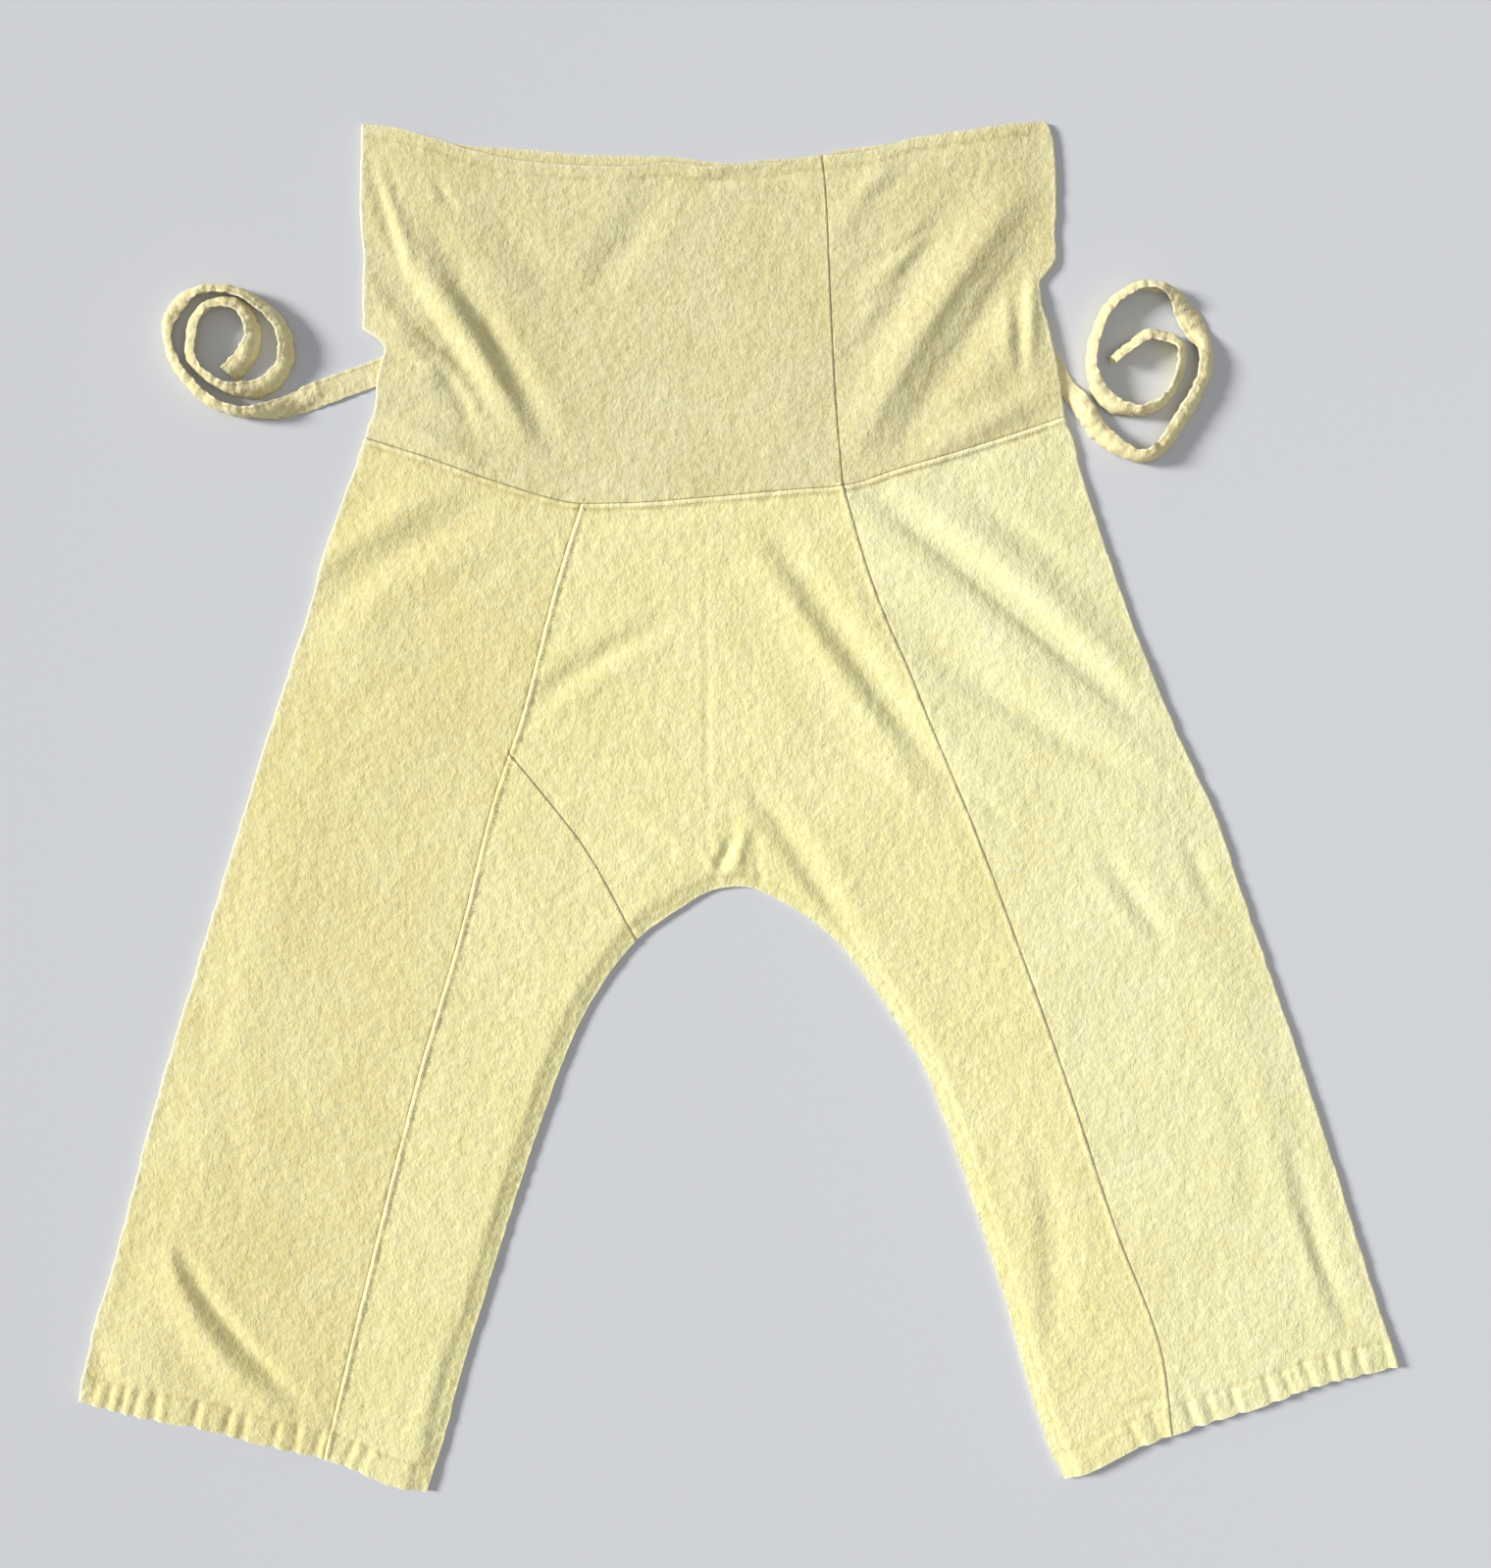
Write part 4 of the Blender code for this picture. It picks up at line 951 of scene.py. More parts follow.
# %% A helper for shader nodes
class Nodes:
    """Adds shader nodes to a new material and links them in one line each."""

    def __init__(self, name):
        self.material = bpy.data.materials.new(name)
        self.material.use_nodes = True
        self.tree = self.material.node_tree
        self.shader = self.tree.nodes["Principled BSDF"]

    def add(self, kind, links=(), **settings):
        node = self.tree.nodes.new(kind)
        for key, value in settings.items():
            setattr(node, key, value)
        for key, value in dict(links).items():
            self.fill(node.inputs[key], value)
        return node

    def fill(self, socket, value):
        """Links a socket to another one, or sets it to a constant."""
        if isinstance(value, bpy.types.NodeSocket):
            self.tree.links.new(value, socket)
        else:
            socket.default_value = value

    def paint(self, values):
        for key, value in values.items():
            self.fill(self.shader.inputs[key], value)

    def noise(self, where, scale, detail=2.0, rough=0.5, twist=0.0):
        return self.add("ShaderNodeTexNoise", {
            "Vector": where, "Scale": scale, "Detail": detail, "Roughness": rough, "Distortion": twist,
        }).outputs["Fac"]

    def remap(self, value, low, high, to_low=0.0, to_high=1.0):
        return self.add("ShaderNodeMapRange", {
            "Value": value, "From Min": low, "From Max": high, "To Min": to_low, "To Max": to_high,
        }).outputs["Result"]

    def times(self, a, b):
        return self.add("ShaderNodeMath", {0: a, 1: b}, operation="MULTIPLY").outputs[0]

    def plus(self, a, b):
        return self.add("ShaderNodeMath", {0: a, 1: b}, operation="ADD").outputs[0]

    def mix(self, share, a, b):
        node = self.add("ShaderNodeMix", {"Factor": share}, data_type="RGBA")
        for socket, value in zip([s for s in node.inputs if s.type == "RGBA"], (a, b)):
            self.fill(socket, (*value, 1.0) if isinstance(value, tuple) else value)
        return next(s for s in node.outputs if s.type == "RGBA")


print("node helper ready")

# %% Crinkled cotton
BROAD, PATCH, FINE, SLUB = 7.0, 38.0, 900.0, 620.0
SPECK_SPREAD = 13.0
# The seam colour is painted shade in the stitched grooves with a deeper yellow; the strip colour is a painted
# highlight on the raised strips.
SEAM_SHADE = (0.66, 0.52, 0.34)
# The rim colour is a painted highlight along folds and outer edges.
STRIP_HIGHLIGHT_COLOUR, RIM_HIGHLIGHT_COLOUR, SPECK_COLOUR = (0.95, 0.91, 0.66), (0.93, 0.90, 0.76), (0.30, 0.24, 0.12)


# The first colour is for the crinkle tops, a painted highlight; the second is for the hollows, painted shade.
def crinkled_cotton(name, top, shaded_hollow, crinkle_scale=330.0):
    m = Nodes(name)
    place = m.add("ShaderNodeTexCoord").outputs["Object"]
    wide = m.add("ShaderNodeMapping", {"Vector": place, "Scale": (1.0, 0.72, 1.0)}).outputs["Vector"]
    along = m.add("ShaderNodeMapping", {"Vector": place, "Scale": (0.12, 1.0, 1.0)}).outputs["Vector"]
    broad = m.noise(place, BROAD, 2.0)
    patch = m.noise(place, PATCH, 3.0, 0.6)
    crinkle = m.noise(wide, crinkle_scale, 2.5, 0.55, 0.55)
    fine = m.noise(place, FINE, 2.0, 0.6)
    slub = m.noise(along, SLUB, 1.0, 0.4)
    # Colour: painted highlight on the crinkle and weave tops, painted shade in a darker yellow between them,
    # with slow changes over the whole panel.
    share = m.plus(m.remap(crinkle, 0.34, 0.66, 0.75, 0.0), m.remap(fine, 0.3, 0.7, 0.16, -0.16))
    share = m.plus(share, m.remap(broad, 0.35, 0.65, -0.12, 0.16))
    share = m.plus(share, m.remap(patch, 0.35, 0.65, -0.10, 0.12))
    share = m.add("ShaderNodeClamp", {"Value": share}).outputs[0]
    colour = m.mix(share, top, shaded_hollow)
    # The seam attribute: painted shade with a deeper yellow on stitched lines, in hem puckers, tie tucks and
    # under the front waist edge; below zero, a painted highlight on raised strips.
    seam = m.add("ShaderNodeAttribute", attribute_name="seam").outputs["Fac"]
    colour = m.mix(m.times(seam, 0.6), colour, tuple(c * f for c, f in zip(shaded_hollow, SEAM_SHADE)))
    colour = m.mix(m.remap(seam, -1.0, -0.05, 0.5, 0.0), colour, STRIP_HIGHLIGHT_COLOUR)
    # The rim attribute: a painted highlight along folds and outer edges.
    rim = m.add("ShaderNodeAttribute", attribute_name="rim").outputs["Fac"]
    colour = m.mix(m.times(rim, 0.34), colour, RIM_HIGHLIGHT_COLOUR)
    speck = m.add(
        "ShaderNodeTexVoronoi", {"Vector": place, "Scale": SPECK_SPREAD}, voronoi_dimensions="2D"
    ).outputs["Distance"]
    colour = m.mix(m.remap(speck, 0.006, 0.010, 0.55, 0.0), colour, SPECK_COLOUR)
    # Bump: the crinkle first, then the weave and the thick threads on it.
    weave = m.plus(m.times(fine, 0.55), m.times(slub, 0.45))
    first = m.add(
        "ShaderNodeBump", {"Strength": 0.8, "Distance": 0.0011, "Height": crinkle}
    ).outputs["Normal"]
    second = m.add(
        "ShaderNodeBump", {"Strength": 0.45, "Distance": 0.0003, "Height": weave, "Normal": first}
    ).outputs["Normal"]
    m.paint({
        "Base Color": colour, "Roughness": m.remap(fine, 0.3, 0.7, 0.84, 0.96), "Normal": second,
        "Specular IOR Level": 0.22, "Sheen Weight": 0.12, "Sheen Roughness": 0.6,
    })
    return m.material


BAND_CLOTH = crinkled_cotton("waistband_cotton", (0.80, 0.745, 0.43), (0.66, 0.575, 0.25))
LEFT_CLOTH = crinkled_cotton("left_leg_cotton", (0.86, 0.79, 0.42), (0.74, 0.64, 0.25))
CENTRE_CLOTH = crinkled_cotton("centre_cotton", (0.91, 0.86, 0.47), (0.79, 0.71, 0.29))
RIGHT_CLOTH = crinkled_cotton("right_leg_cotton", (0.91, 0.87, 0.52), (0.80, 0.735, 0.34))
INNER_CLOTH = crinkled_cotton("inner_leg_cotton", (0.90, 0.845, 0.46), (0.78, 0.70, 0.28))
print("cloths:", [m.name for m in bpy.data.materials if m.name.endswith("_cotton")])

# %% [markdown]
# ## The waistband
# One tall strip goes round both side folds and is closed by a seam down the front. Its front edge
# sags a little below the back, so the inside of the back shows above it.

# %% The waistband
half = GAP / 2
side_folds = {-1: lambda up: fold_line(-1, up), 1: lambda up: fold_line(1, up)}
corner = {s: meet(fold, waist_up, 300.0) for s, fold in side_folds.items()}
top_corner = {s: meet(fold, front_top, 536.0) for s, fold in side_folds.items()}
hem_corner = {s: meet(fold, hem_up, -450.0) for s, fold in side_folds.items()}
band_folds = {s: run(fold, top_corner[s], corner[s]) for s, fold in side_folds.items()}
leg_folds = {s: run(fold, corner[s], hem_corner[s]) for s, fold in side_folds.items()}
waist_left, waist_right = band_folds[-1][-1, 0], band_folds[1][-1, 0]


band_line = run(band_seam, meet(band_seam, front_top, 511.0), tops[right_seam])
waistband = Cloth("waistband_cloth")
left_part = waistband.layer([
    (band_folds[-1], 0), (spread(waist_up, waist_left, band_line[-1, 0]), half), (band_line[::-1], half),
    (spread(front_top, band_line[0, 0], band_folds[-1][0, 0]), 0),
], True)
right_part = waistband.layer([
    (band_line, half), (spread(waist_up, band_line[-1, 0], waist_right), half), (band_folds[1][::-1], 0),
    (spread(front_top, band_folds[1][0, 0], band_line[0, 0]), 0),
], True)
back_part = waistband.layer([
    (band_folds[-1], 0), (spread(waist_up, waist_left, waist_right), half), (band_folds[1][::-1], 0),
    (spread(back_top, band_folds[1][0, 0], band_folds[-1][0, 0]), 0),
], False, [spread(front_top, -290, 240) + (0, rise) for rise in (-1.0, 0.6, 2.2, 4.0)])
waistband.fold(left_part[0], back_part[0], -1)
waistband.fold(right_part[2], back_part[2], 1)
pieces = {"waistband": waistband.shell(BAND_CLOTH)}

# %% [markdown]
# ## The outer leg panels
# Each is one wide panel from the front leg seam, round the side fold, to the back leg seam. A fold
# is softer than a crease pressed with an iron, so it turns in a small half circle.

# %% The outer leg panels
for name, side, front_seam, back_seam, cloth in (
    ("left_outer_leg", -1, left_seam, back_left, LEFT_CLOTH),
    ("right_outer_leg", 1, right_seam, back_right, RIGHT_CLOTH),
):
    leg, found = Cloth(f"{name}_cloth"), []
    for front, seam in ((True, front_seam), (False, back_seam)):
        line, fold = whole(seam), leg_folds[side]
        found.append(leg.layer([
            (spread(waist_up, fold[0, 0], line[0, 0]), half), (line, half),
            (spread(hem_up, line[-1, 0], fold[-1, 0]), 0), (fold[::-1], 0),
        ], front))
    leg.fold(found[0][3], found[1][3], side)
    pieces[name] = leg.shell(cloth)

# %% [markdown]
# ## Centre and inner leg panels
# The centre panel runs from the waistband through the crotch and on down one leg. A diagonal seam
# joins it to a tapered panel on the other leg. The back has the same two, the other way round.

# %% Centre and inner leg panels
last_row = len(INNER_ROWS) - 1
for front, centre_name, inner_name, straight, forked, diagonal, join_row in (
    (True, "front_centre", "front_left_inner", right_seam, left_seam, front_diagonal, LEFT_DIAGONAL_ROW),
    (False, "back_centre", "back_right_inner", back_left, back_right, back_diagonal, RIGHT_DIAGONAL_ROW),
):
    long_end, short_end = (last_row, 0) if front else (0, last_row)
    upper = run(forked, tops[forked], DIAGONAL_TOP)
    lower = run(forked, DIAGONAL_TOP, hems[forked])
    long_inner, short_inner = inner(join_row, long_end), inner(join_row, short_end)
    line = whole(straight)
    panel = Cloth(f"{centre_name}_cloth")
    panel.layer([
        (spread(waist_up, line[0, 0], upper[0, 0]), half), (upper, half), (diagonal, half), (long_inner, 0),
        (spread(hem_up, long_inner[-1, 0], line[-1, 0]), 0), (line[::-1], half),
    ], front)
    pieces[f"{centre_name}_panel"] = panel.shell(CENTRE_CLOTH)
    panel = Cloth(f"{inner_name}_cloth")
    panel.layer([
        (lower, half), (spread(hem_up, lower[-1, 0], short_inner[-1, 0]), 0), (short_inner[::-1], 0),
        (diagonal[::-1], half),
    ], front)
    pieces[f"{inner_name}_leg"] = panel.shell(INNER_CLOTH)

# %% [markdown]
# ## The ties
# A tie is a strip folded to 20 mm and stitched. It leaves the side flat, then gathers and rolls on
# to its edge as it coils. The route is a table: where it goes, how wide it looks from above and how
# much it is gathered. Its section is found by curling and rolling a flat strip until it looks that
# wide. Small ripples along both edges, where the stitching draws it up, make it cloth and not tape.

# %% Tables of the ties
# Each row: across and up, the width that shows from above, and how far it stands on edge (0 to 1).
LEFT_TIE = (
    (-256, 352, 20, 0), (-270, 347, 20, 0), (-284, 341, 20, 0), (-304, 334, 20, 0),
    (-325, 326, 20, 0), (-345, 318, 19, 0.5), (-361, 312, 14, 1), (-378, 308, 8, 1),
    (-392, 309, 7, 1), (-408, 314, 8, 1), (-421, 323, 9, 1), (-432, 335, 9, 1),
    (-441, 349, 9, 1), (-446, 367, 9, 1), (-444, 383, 13, 1), (-435, 396, 13, 1),
    (-422, 403, 9, 1), (-407, 405, 8, 1), (-391, 402, 8, 1), (-376, 394, 9, 1),
    (-364, 384, 9.5, 1), (-356, 372, 10, 1), (-353, 359, 10.5, 1), (-355, 346, 11, 1),
    (-363, 336, 13, 1), (-373, 329, 13, 1), (-384, 326, 12, 1), (-398, 327, 8, 1),
    (-411, 333, 7, 1), (-423, 343, 8, 1), (-428, 353, 10, 1), (-428, 366, 10, 1),
    (-425, 379, 10, 1), (-418, 389, 9, 1), (-408, 393.5, 9, 1), (-396, 394, 10, 1),
    (-387, 389, 10, 1), (-381, 379, 10, 1), (-380, 367, 11, 1), (-386, 354, 14, 1),
    (-399, 338.5, 15, 0.6),
)
RIGHT_TIE = (
    (232, 372, 15, 0), (238, 361, 15, 0), (244, 351, 15, 0), (251, 340, 14, 0),
    (259, 328, 13, 0), (268, 315, 15, 0.5), (277, 302, 15, 1), (286, 291, 14, 1),
    (296, 282, 11, 1), (308, 275, 9, 1), (319, 274, 9, 1), (330, 281, 11, 1),
    (339, 293, 12, 1), (349, 309, 12, 1), (360, 328, 11.5, 1), (365, 343, 12, 1),
    (365, 358, 13, 1), (362, 368, 17, 0.8), (356, 379, 19, 0.4), (349, 390, 17, 0.8),
    (341, 400, 12, 1), (331, 406, 8, 1), (319, 408, 8, 1), (306, 404, 8, 1),
    (295, 397, 8, 1), (287, 387, 8, 1), (280, 374, 7, 1), (276, 358, 6.5, 1),
    (275, 344, 7, 1), (278, 333, 9, 1), (285, 322, 11.5, 1), (294, 313, 11, 1),
    (306, 310, 8, 1), (318, 310, 7, 1), (331, 317, 6.5, 1), (340, 328, 7, 1),
    (345, 342, 8.5, 1), (346, 354, 9, 1), (342, 363, 9, 1), (331, 368, 10, 1),
    (320, 369, 10, 1), (308, 361, 8, 1), (292, 349, 8, 1),
)
print("tie rows:", len(LEFT_TIE), len(RIGHT_TIE))

# %% The ties
TIE_WIDTH, TIE_WALL = 20.0, 1.6
TIE_CURL, TIE_ROLL = math.radians(75), math.radians(84)
TIE_STEP, TIE_ACROSS = 1.8, 19
TIE_RIPPLE, TIE_RIPPLE_WAVE = 1.5, 5.2
TIE_TUCK, TIE_TUCK_WAVE, TIE_SWAY, TIE_SWAY_WAVE, TIE_DRIFT, TIE_DRIFT_WAVE = 0.7, 9.5, 1.1, 4.8, 0.7, 17.0
FREE_FROM, FREE_OVER = 52, 40


def tie_section(width, curl, roll, across=TIE_ACROSS):
    """Middle points of the section and the way out of its upper face."""
    turn, curl = np.linspace(-1, 1, across), max(curl, 1e-3)
    radius = width / (2 * curl)
    chord, bow = radius * np.sin(turn * curl), radius * (np.cos(turn * curl) - math.cos(curl))
    flat = np.column_stack([
        chord * math.cos(roll) - bow * math.sin(roll), chord * math.sin(roll) + bow * math.cos(roll)
    ])
    return flat, left_of(directions(flat))


def both_faces(flat, out):
    return np.concatenate([flat + out * TIE_WALL / 2, flat - out * TIE_WALL / 2])


def section_for(shown, stood):
    """The section that looks as wide from above as shown, standing on the surface."""
    width = shown + (max(TIE_WIDTH, shown) - shown) * stood
    low, high = 0.0, 2.0
    for _ in range(18):
        amount = (low + high) / 2
        flat, out = tie_section(
            width, stood * TIE_CURL * min(amount, 1), stood * TIE_ROLL * max(0, amount - 1), 7
        )
        ring = both_faces(flat, out)
        low, high = (amount, high) if np.ptp(ring[:, 0]) > shown else (low, amount)
    flat, out = tie_section(width, stood * TIE_CURL * min(amount, 1), stood * TIE_ROLL * max(0, amount - 1))
    ring = both_faces(flat, out)
    flat = flat - np.array([(ring[:, 0].max() + ring[:, 0].min()) / 2, ring[:, 1].min()])
    return flat, out


def tie_cloth(name, table, inside_on, seed, material):
    """The tie's shell, and a chain of surface points near each edge for its stitches."""
    route, _ = smooth_rows(table, TIE_STEP)
    towards = inside_on * left_of(directions(route[:, :2]))
    length = np.concatenate([[0], np.cumsum(np.linalg.norm(np.diff(route[:, :2], axis=0), axis=1))])
    turn = np.linspace(-1, 1, TIE_ACROSS)
    side = np.abs(turn)
    pinch, swell = 0.35 * hump((side - 0.72) / 0.10), 0.30 * hump((side - 0.93) / 0.12)
    fat = 0.5 * TIE_WALL * (1 - pinch) * (1 - 0.55 * side**14) + swell
    upper, lower, tone, edge_highlight_tone = [], [], [], []
    for at, row, normal in zip(length, route, towards):
        stood = float(np.clip(row[3], 0, 1))
        flat, out = section_for(row[2], stood)
        free = float(ease((at - FREE_FROM) / FREE_OVER))
        wobble = np.array([
            noise.fractal(Vector((at / TIE_RIPPLE_WAVE, 1.3 * t + seed, 3.3)), 1.0, 2.0, 2) for t in turn
        ])
        tuck = np.array([
            (1 - abs(noise.noise(Vector((at / TIE_TUCK_WAVE, 0.5 * t + seed, 1.1))))) ** 9 for t in turn
        ])
        sway = np.array([
            noise.noise(Vector((at / TIE_SWAY_WAVE, 2.0 * (t > 0) + seed, 7.7))) for t in turn
        ])
        shift = out * (
            TIE_RIPPLE * wobble * (0.25 + 0.75 * side) * (0.3 + 0.7 * free) - TIE_TUCK * tuck
        )[:, None]
        flat = flat + shift
        flat[:, 0] += (0.35 + 0.65 * free) * TIE_SWAY * sway * side**3
        flat[:, 0] += free * TIE_DRIFT * noise.noise(Vector((at / TIE_DRIFT_WAVE, seed, 9.1)))
        a, b = flat + out * fat[:, None], flat - out * fat[:, None]
        low = min(a[:, 1].min(), b[:, 1].min())
        a[:, 1] -= low
        b[:, 1] -= low
        for ring, store in ((a, upper), (b, lower)):
            store.append(np.column_stack([row[:2] + ring[:, :1] * normal, ring[:, 1]]))
        # Tone: painted shade with a deeper yellow on the stitched lines near both edges, painted shade in the
        # tucks, and a painted highlight on the edges.
        tone.append(np.clip(0.5 * hump((side - 0.74) / 0.07) + 0.35 * tuck**2, 0, 1))
        edge_highlight_tone.append(0.9 * side**7)
    upper, lower = np.array(upper), np.array(lower)
    rows, n = len(route), TIE_ACROSS
    points = np.concatenate([upper.reshape(-1, 3), lower.reshape(-1, 3)])
    index = np.arange(rows * n).reshape(rows, n)
    corners = (index[:-1, :-1], index[:-1, 1:], index[1:, 1:], index[1:, :-1])
    faces = shell_faces(split_quads(*(c.ravel() for c in corners)), rows * n)
    p, q, r = corners_of(points, faces)
    if (p * np.cross(q, r)).sum() < 0:
        faces = faces[:, ::-1]
    piece = mesh_piece(name, points, faces, material, {
        "seam": np.tile(np.concatenate(tone), 2), "rim": np.tile(np.concatenate(edge_highlight_tone), 2),
    })
    lines = [upper[6:-2, k] for k in (2, n - 3)] + [lower[6:-2, k] for k in (2, n - 3)]
    return piece, lines, float(length[-1])


TIE_CLOTH = crinkled_cotton("tie_cotton", (0.85, 0.78, 0.47), (0.72, 0.61, 0.29), 300.0)
left_tie, left_tie_lines, left_length = tie_cloth("left_tie_cloth", LEFT_TIE, -1, 2.0, TIE_CLOTH)
right_tie, right_tie_lines, right_length = tie_cloth("right_tie_cloth", RIGHT_TIE, 1, 6.0, TIE_CLOTH)
pieces["left_tie"], pieces["right_tie"] = left_tie, right_tie
print("ties", round(left_length), "and", round(right_length), "mm long")

# %% [markdown]
# ## Stitches
# Every felled seam and hem is held by a row of short stitches. They all have the same shape and only
# follow a path, which is what Geometry Nodes are for: the tree turns a chain of points into a curve,
# sets a point every stitch length, puts a small spindle of thread on each, and realises them.

# %% The stitch tree
STITCH_PITCH, STITCH_LENGTH, THREAD = 2.9 * MM, 2.3 * MM, 0.42 * MM


def stitch_tree():
    tree = bpy.data.node_groups.new("stitch_row", "GeometryNodeTree")
    face = tree.interface
    for name, kind in (
        ("Path", "Geometry"), ("Pitch", "Float"), ("Stitch length", "Float"), ("Thread", "Float"),
        ("Seed", "Int"), ("Thread cotton", "Material"),
    ):
        face.new_socket(name, in_out="INPUT", socket_type=f"NodeSocket{kind}")
    face.new_socket("Stitches", in_out="OUTPUT", socket_type="NodeSocketGeometry")
    new = tree.nodes.new
    given, result = new("NodeGroupInput"), new("NodeGroupOutput")
    curve, points = new("GeometryNodeMeshToCurve"), new("GeometryNodeResampleCurve")
    points.mode = "LENGTH"
    spindle = new("GeometryNodeMeshUVSphere")
    spindle.inputs["Segments"].default_value = 6
    spindle.inputs["Rings"].default_value = 4
    spindle.inputs["Radius"].default_value = 0.5
    size, shaped = new("ShaderNodeCombineXYZ"), new("GeometryNodeTransform")
    tangent, turn = new("GeometryNodeInputTangent"), new("FunctionNodeAlignRotationToVector")
    turn.axis = "X"
    vary = new("FunctionNodeRandomValue")
    vary.data_type = "FLOAT"
    low, high = (s for s in vary.inputs if s.type == "VALUE" and s.name in ("Min", "Max"))
    low.default_value, high.default_value = 0.8, 1.15
    onto, real = new("GeometryNodeInstanceOnPoints"), new("GeometryNodeRealizeInstances")
    paint = new("GeometryNodeSetMaterial")
    for source, leaving, target, entering in (
        (given, "Path", curve, "Mesh"), (curve, "Curve", points, "Curve"),
        (given, "Pitch", points, "Length"), (given, "Stitch length", size, "X"),
        (given, "Thread", size, "Y"), (given, "Thread", size, "Z"),
        (spindle, "Mesh", shaped, "Geometry"), (size, "Vector", shaped, "Scale"),
        (tangent, "Tangent", turn, "Vector"), (given, "Seed", vary, "Seed"),
        (points, "Curve", onto, "Points"), (shaped, "Geometry", onto, "Instance"),
        (turn, "Rotation", onto, "Rotation"), (onto, "Instances", real, "Geometry"),
        (real, "Geometry", paint, "Geometry"), (given, "Thread cotton", paint, "Material"),
        (paint, "Geometry", result, "Stitches"),
    ):
        tree.links.new(source.outputs[leaving], target.inputs[entering])
    tree.links.new(next(s for s in vary.outputs if s.type == "VALUE"), onto.inputs["Scale"])
    return tree


STITCHES = stitch_tree()
thread = Nodes("sewing_thread")
grain = thread.noise(thread.add("ShaderNodeTexCoord").outputs["Object"], 1400.0, 1.0)
thread.paint({
    "Base Color": thread.mix(grain, (0.80, 0.74, 0.46), (0.66, 0.58, 0.32)),
    "Roughness": thread.remap(grain, 0.3, 0.7, 0.55, 0.75),
})
print("tree inputs:", [s.name for s in STITCHES.interface.items_tree if s.in_out == "INPUT"])


# %% Rows of stitches
def sewn(name, chains, seed):
    """Stitches along chains of surface points in millimetres, as one plain mesh."""
    points = np.concatenate(chains) * MM
    edges, at = [], 0
    for chain in chains:
        edges += [(i, i + 1) for i in range(at, at + len(chain) - 1)]
        at += len(chain)
    path = bpy.data.meshes.new(f"{name}_path")
    path.from_pydata([tuple(p) for p in points], edges, [])
    holder = put(f"{name}_path", path)
    modifier = holder.modifiers.new("stitches", "NODES")
    modifier.node_group = STITCHES
    wanted = {"Pitch": STITCH_PITCH, "Stitch length": STITCH_LENGTH, "Thread": THREAD, "Seed": seed,
              "Thread cotton": thread.material}
    for socket in STITCHES.interface.items_tree:
        if socket.in_out == "INPUT" and socket.name in wanted:
            modifier[socket.identifier] = wanted[socket.name]
    bpy.context.view_layer.update()
    mesh = bpy.data.meshes.new_from_object(holder.evaluated_get(bpy.context.evaluated_depsgraph_get()))
    bpy.data.objects.remove(holder, do_unlink=True)
    mesh.name = name
    mesh.shade_smooth()
    print(f"{name}: {len(mesh.polygons)} faces")
    return put(name, mesh)


def on_cloth(chain, front, sink=0.05):
    """A chain laid on the outer face of the front or the back layer."""
    height, _ = heights(chain, front)
    up = 1 if front else -1
    return np.column_stack([chain, height + up * (WALL / 2 - sink)])


def beside(chain, hand, distance):
    return chain + hand * distance * left_of(directions(chain))


def fine(chain, spacing=2.0):
    return smooth_rows(chain, spacing)[0]


def keep(chain, test):
    return chain[np.array([bool(test(x, y)) for x, y in chain])]


stitch_lines = {name: [] for name in pieces}
# Rows beside the upright seams: the piece, the seam's number in its table, and between which heights.
SEAM_ROWS = {
    True: (
        ("waistband", 1, tops[right_seam] + 3, math.inf),
        ("front_left_inner_leg", 2, hems[left_seam] + 4, DIAGONAL_TOP - 6),
        ("front_centre_panel", 2, DIAGONAL_TOP + 6, tops[left_seam] - 5),
        ("front_centre_panel", 3, hems[right_seam] + 4, tops[right_seam] - 5),
        ("front_left_inner_leg", 4, -math.inf, math.inf),
    ),
    False: (
        ("back_centre_panel", 1, hems[back_left] + 4, tops[back_left] - 5),
        ("back_centre_panel", 2, DIAGONAL_TOP + 6, tops[back_right] - 5),
        ("back_right_inner_leg", 2, hems[back_right] + 4, DIAGONAL_TOP - 6),
        ("back_right_inner_leg", 3, -math.inf, math.inf),
    ),
}
DIAGONAL_ENDS = slice(4, -4)
HEM_FROM, HEM_TO, INNER_LEFT_LOW, INNER_RIGHT_LOW = 262, 505, -512, -505


def sew(name, chain, front):
    stitch_lines[name].append(on_cloth(chain, front))


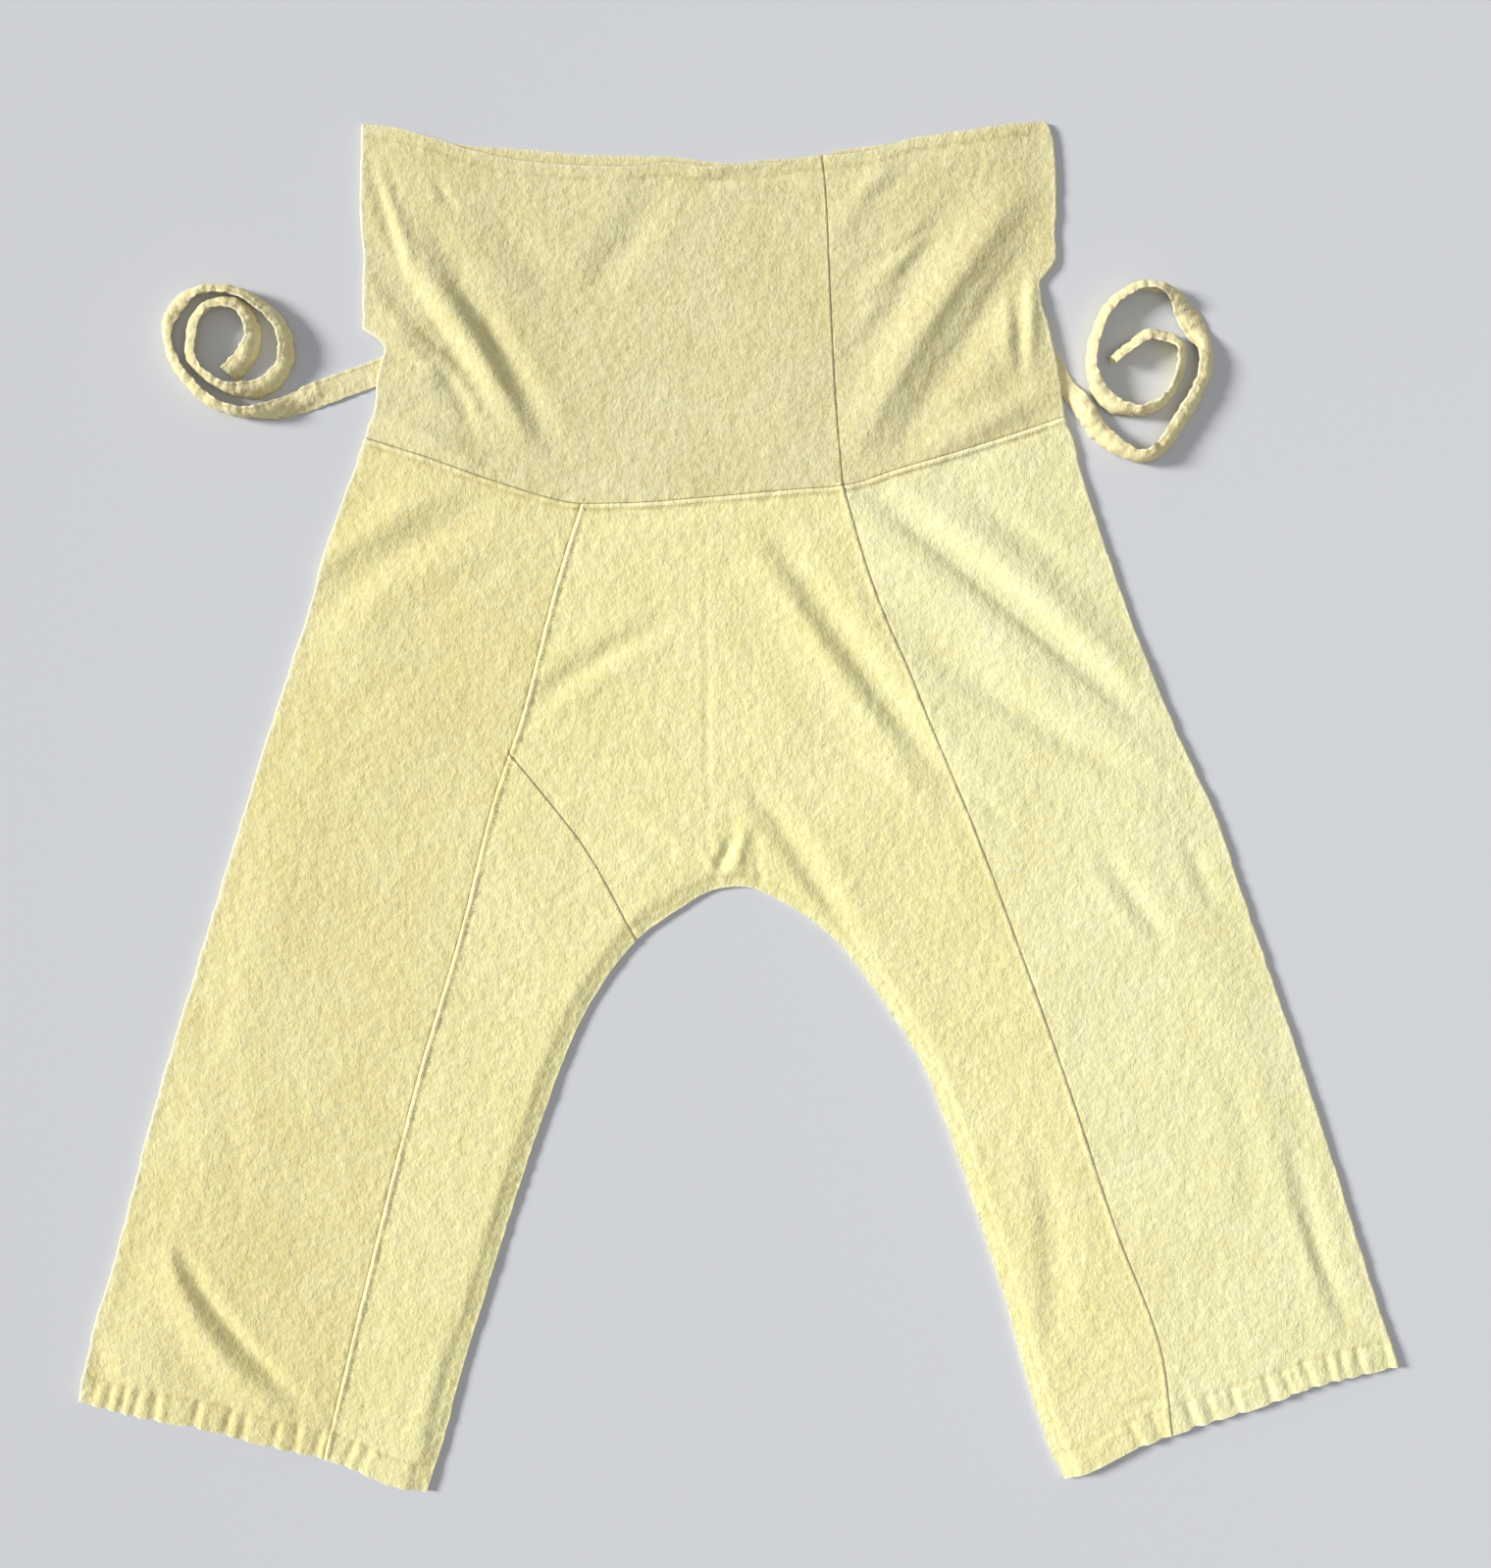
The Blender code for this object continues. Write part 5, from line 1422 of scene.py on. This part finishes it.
for front in (True, False):
    rows = [fine(beside(c, hand, width - 0.7)) for c, hand, width in (FRONT_SEAMS if front else BACK_SEAMS)]
    rows[-1] = rows[-1][DIAGONAL_ENDS]
    centre = "front_centre_panel" if front else "back_centre_panel"
    inner_leg = "front_left_inner_leg" if front else "back_right_inner_leg"
    on_left, on_right = (inner_leg, centre) if front else (centre, inner_leg)
    left, right = (left_seam, right_seam) if front else (back_left, back_right)
    cuts = (waist_left + 4, float(left(240)), float(right(250)), waist_right - 4)
    for name, low, high in zip(("left_outer_leg", centre, "right_outer_leg"), cuts, cuts[1:]):
        sew(name, keep(rows[0], lambda x, y: low < x < high), front)
    for name, number, low, high in SEAM_ROWS[front]:
        sew(name, keep(rows[number], lambda x, y: low < y < high), front)
    top_line = spread(
        front_top if front else back_top, band_folds[-1][0, 0] + 3, band_folds[1][0, 0] - 3, 2.0
    ) - (0, WAIST_HEM)
    sew("waistband", top_line, front)
    for table, outer, inside_name, seam in (
        (LEFT_HEM, "left_outer_leg", on_left, left), (RIGHT_HEM, "right_outer_leg", on_right, right),
    ):
        line = fine(beside(np.column_stack([table["across"], table["up"]]).astype(float), 1, LEG_HEM))
        left_leg = table is LEFT_HEM
        split = float(seam(hems[seam] + LEG_HEM))
        sew(outer, keep(line, lambda x, y: (x < split - 2) == left_leg and abs(x) < HEM_TO), front)
        sew(inside_name, keep(line, lambda x, y: (x > split + 2) == left_leg and abs(x) > HEM_FROM), front)
    felled = fine(beside(INNER_COARSE, 1, INNER_FELL - 0.4))
    join_x = INNER[INNER_ROWS[LEFT_DIAGONAL_ROW if front else RIGHT_DIAGONAL_ROW]][0]
    sew(on_left, keep(felled, lambda x, y: x < join_x - 7 and y > INNER_LEFT_LOW), front)
    sew(on_right, keep(felled, lambda x, y: x > join_x + 7 and y > INNER_RIGHT_LOW), front)
stitch_lines["left_tie"], stitch_lines["right_tie"] = left_tie_lines, right_tie_lines
stitching = {
    name: sewn(f"{name}_stitches", [c for c in chains if len(c) > 2], 7 + k)
    for k, (name, chains) in enumerate(stitch_lines.items())
}

# %% [markdown]
# ## Putting each piece on its body
# Each cloth panel stands for its solid, which is hidden, and rides on the one body there is, with its
# stitches.

# %% Pieces and bodies
for name, piece in pieces.items():
    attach(piece, "root")
    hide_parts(name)
    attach(stitching[name], "root")
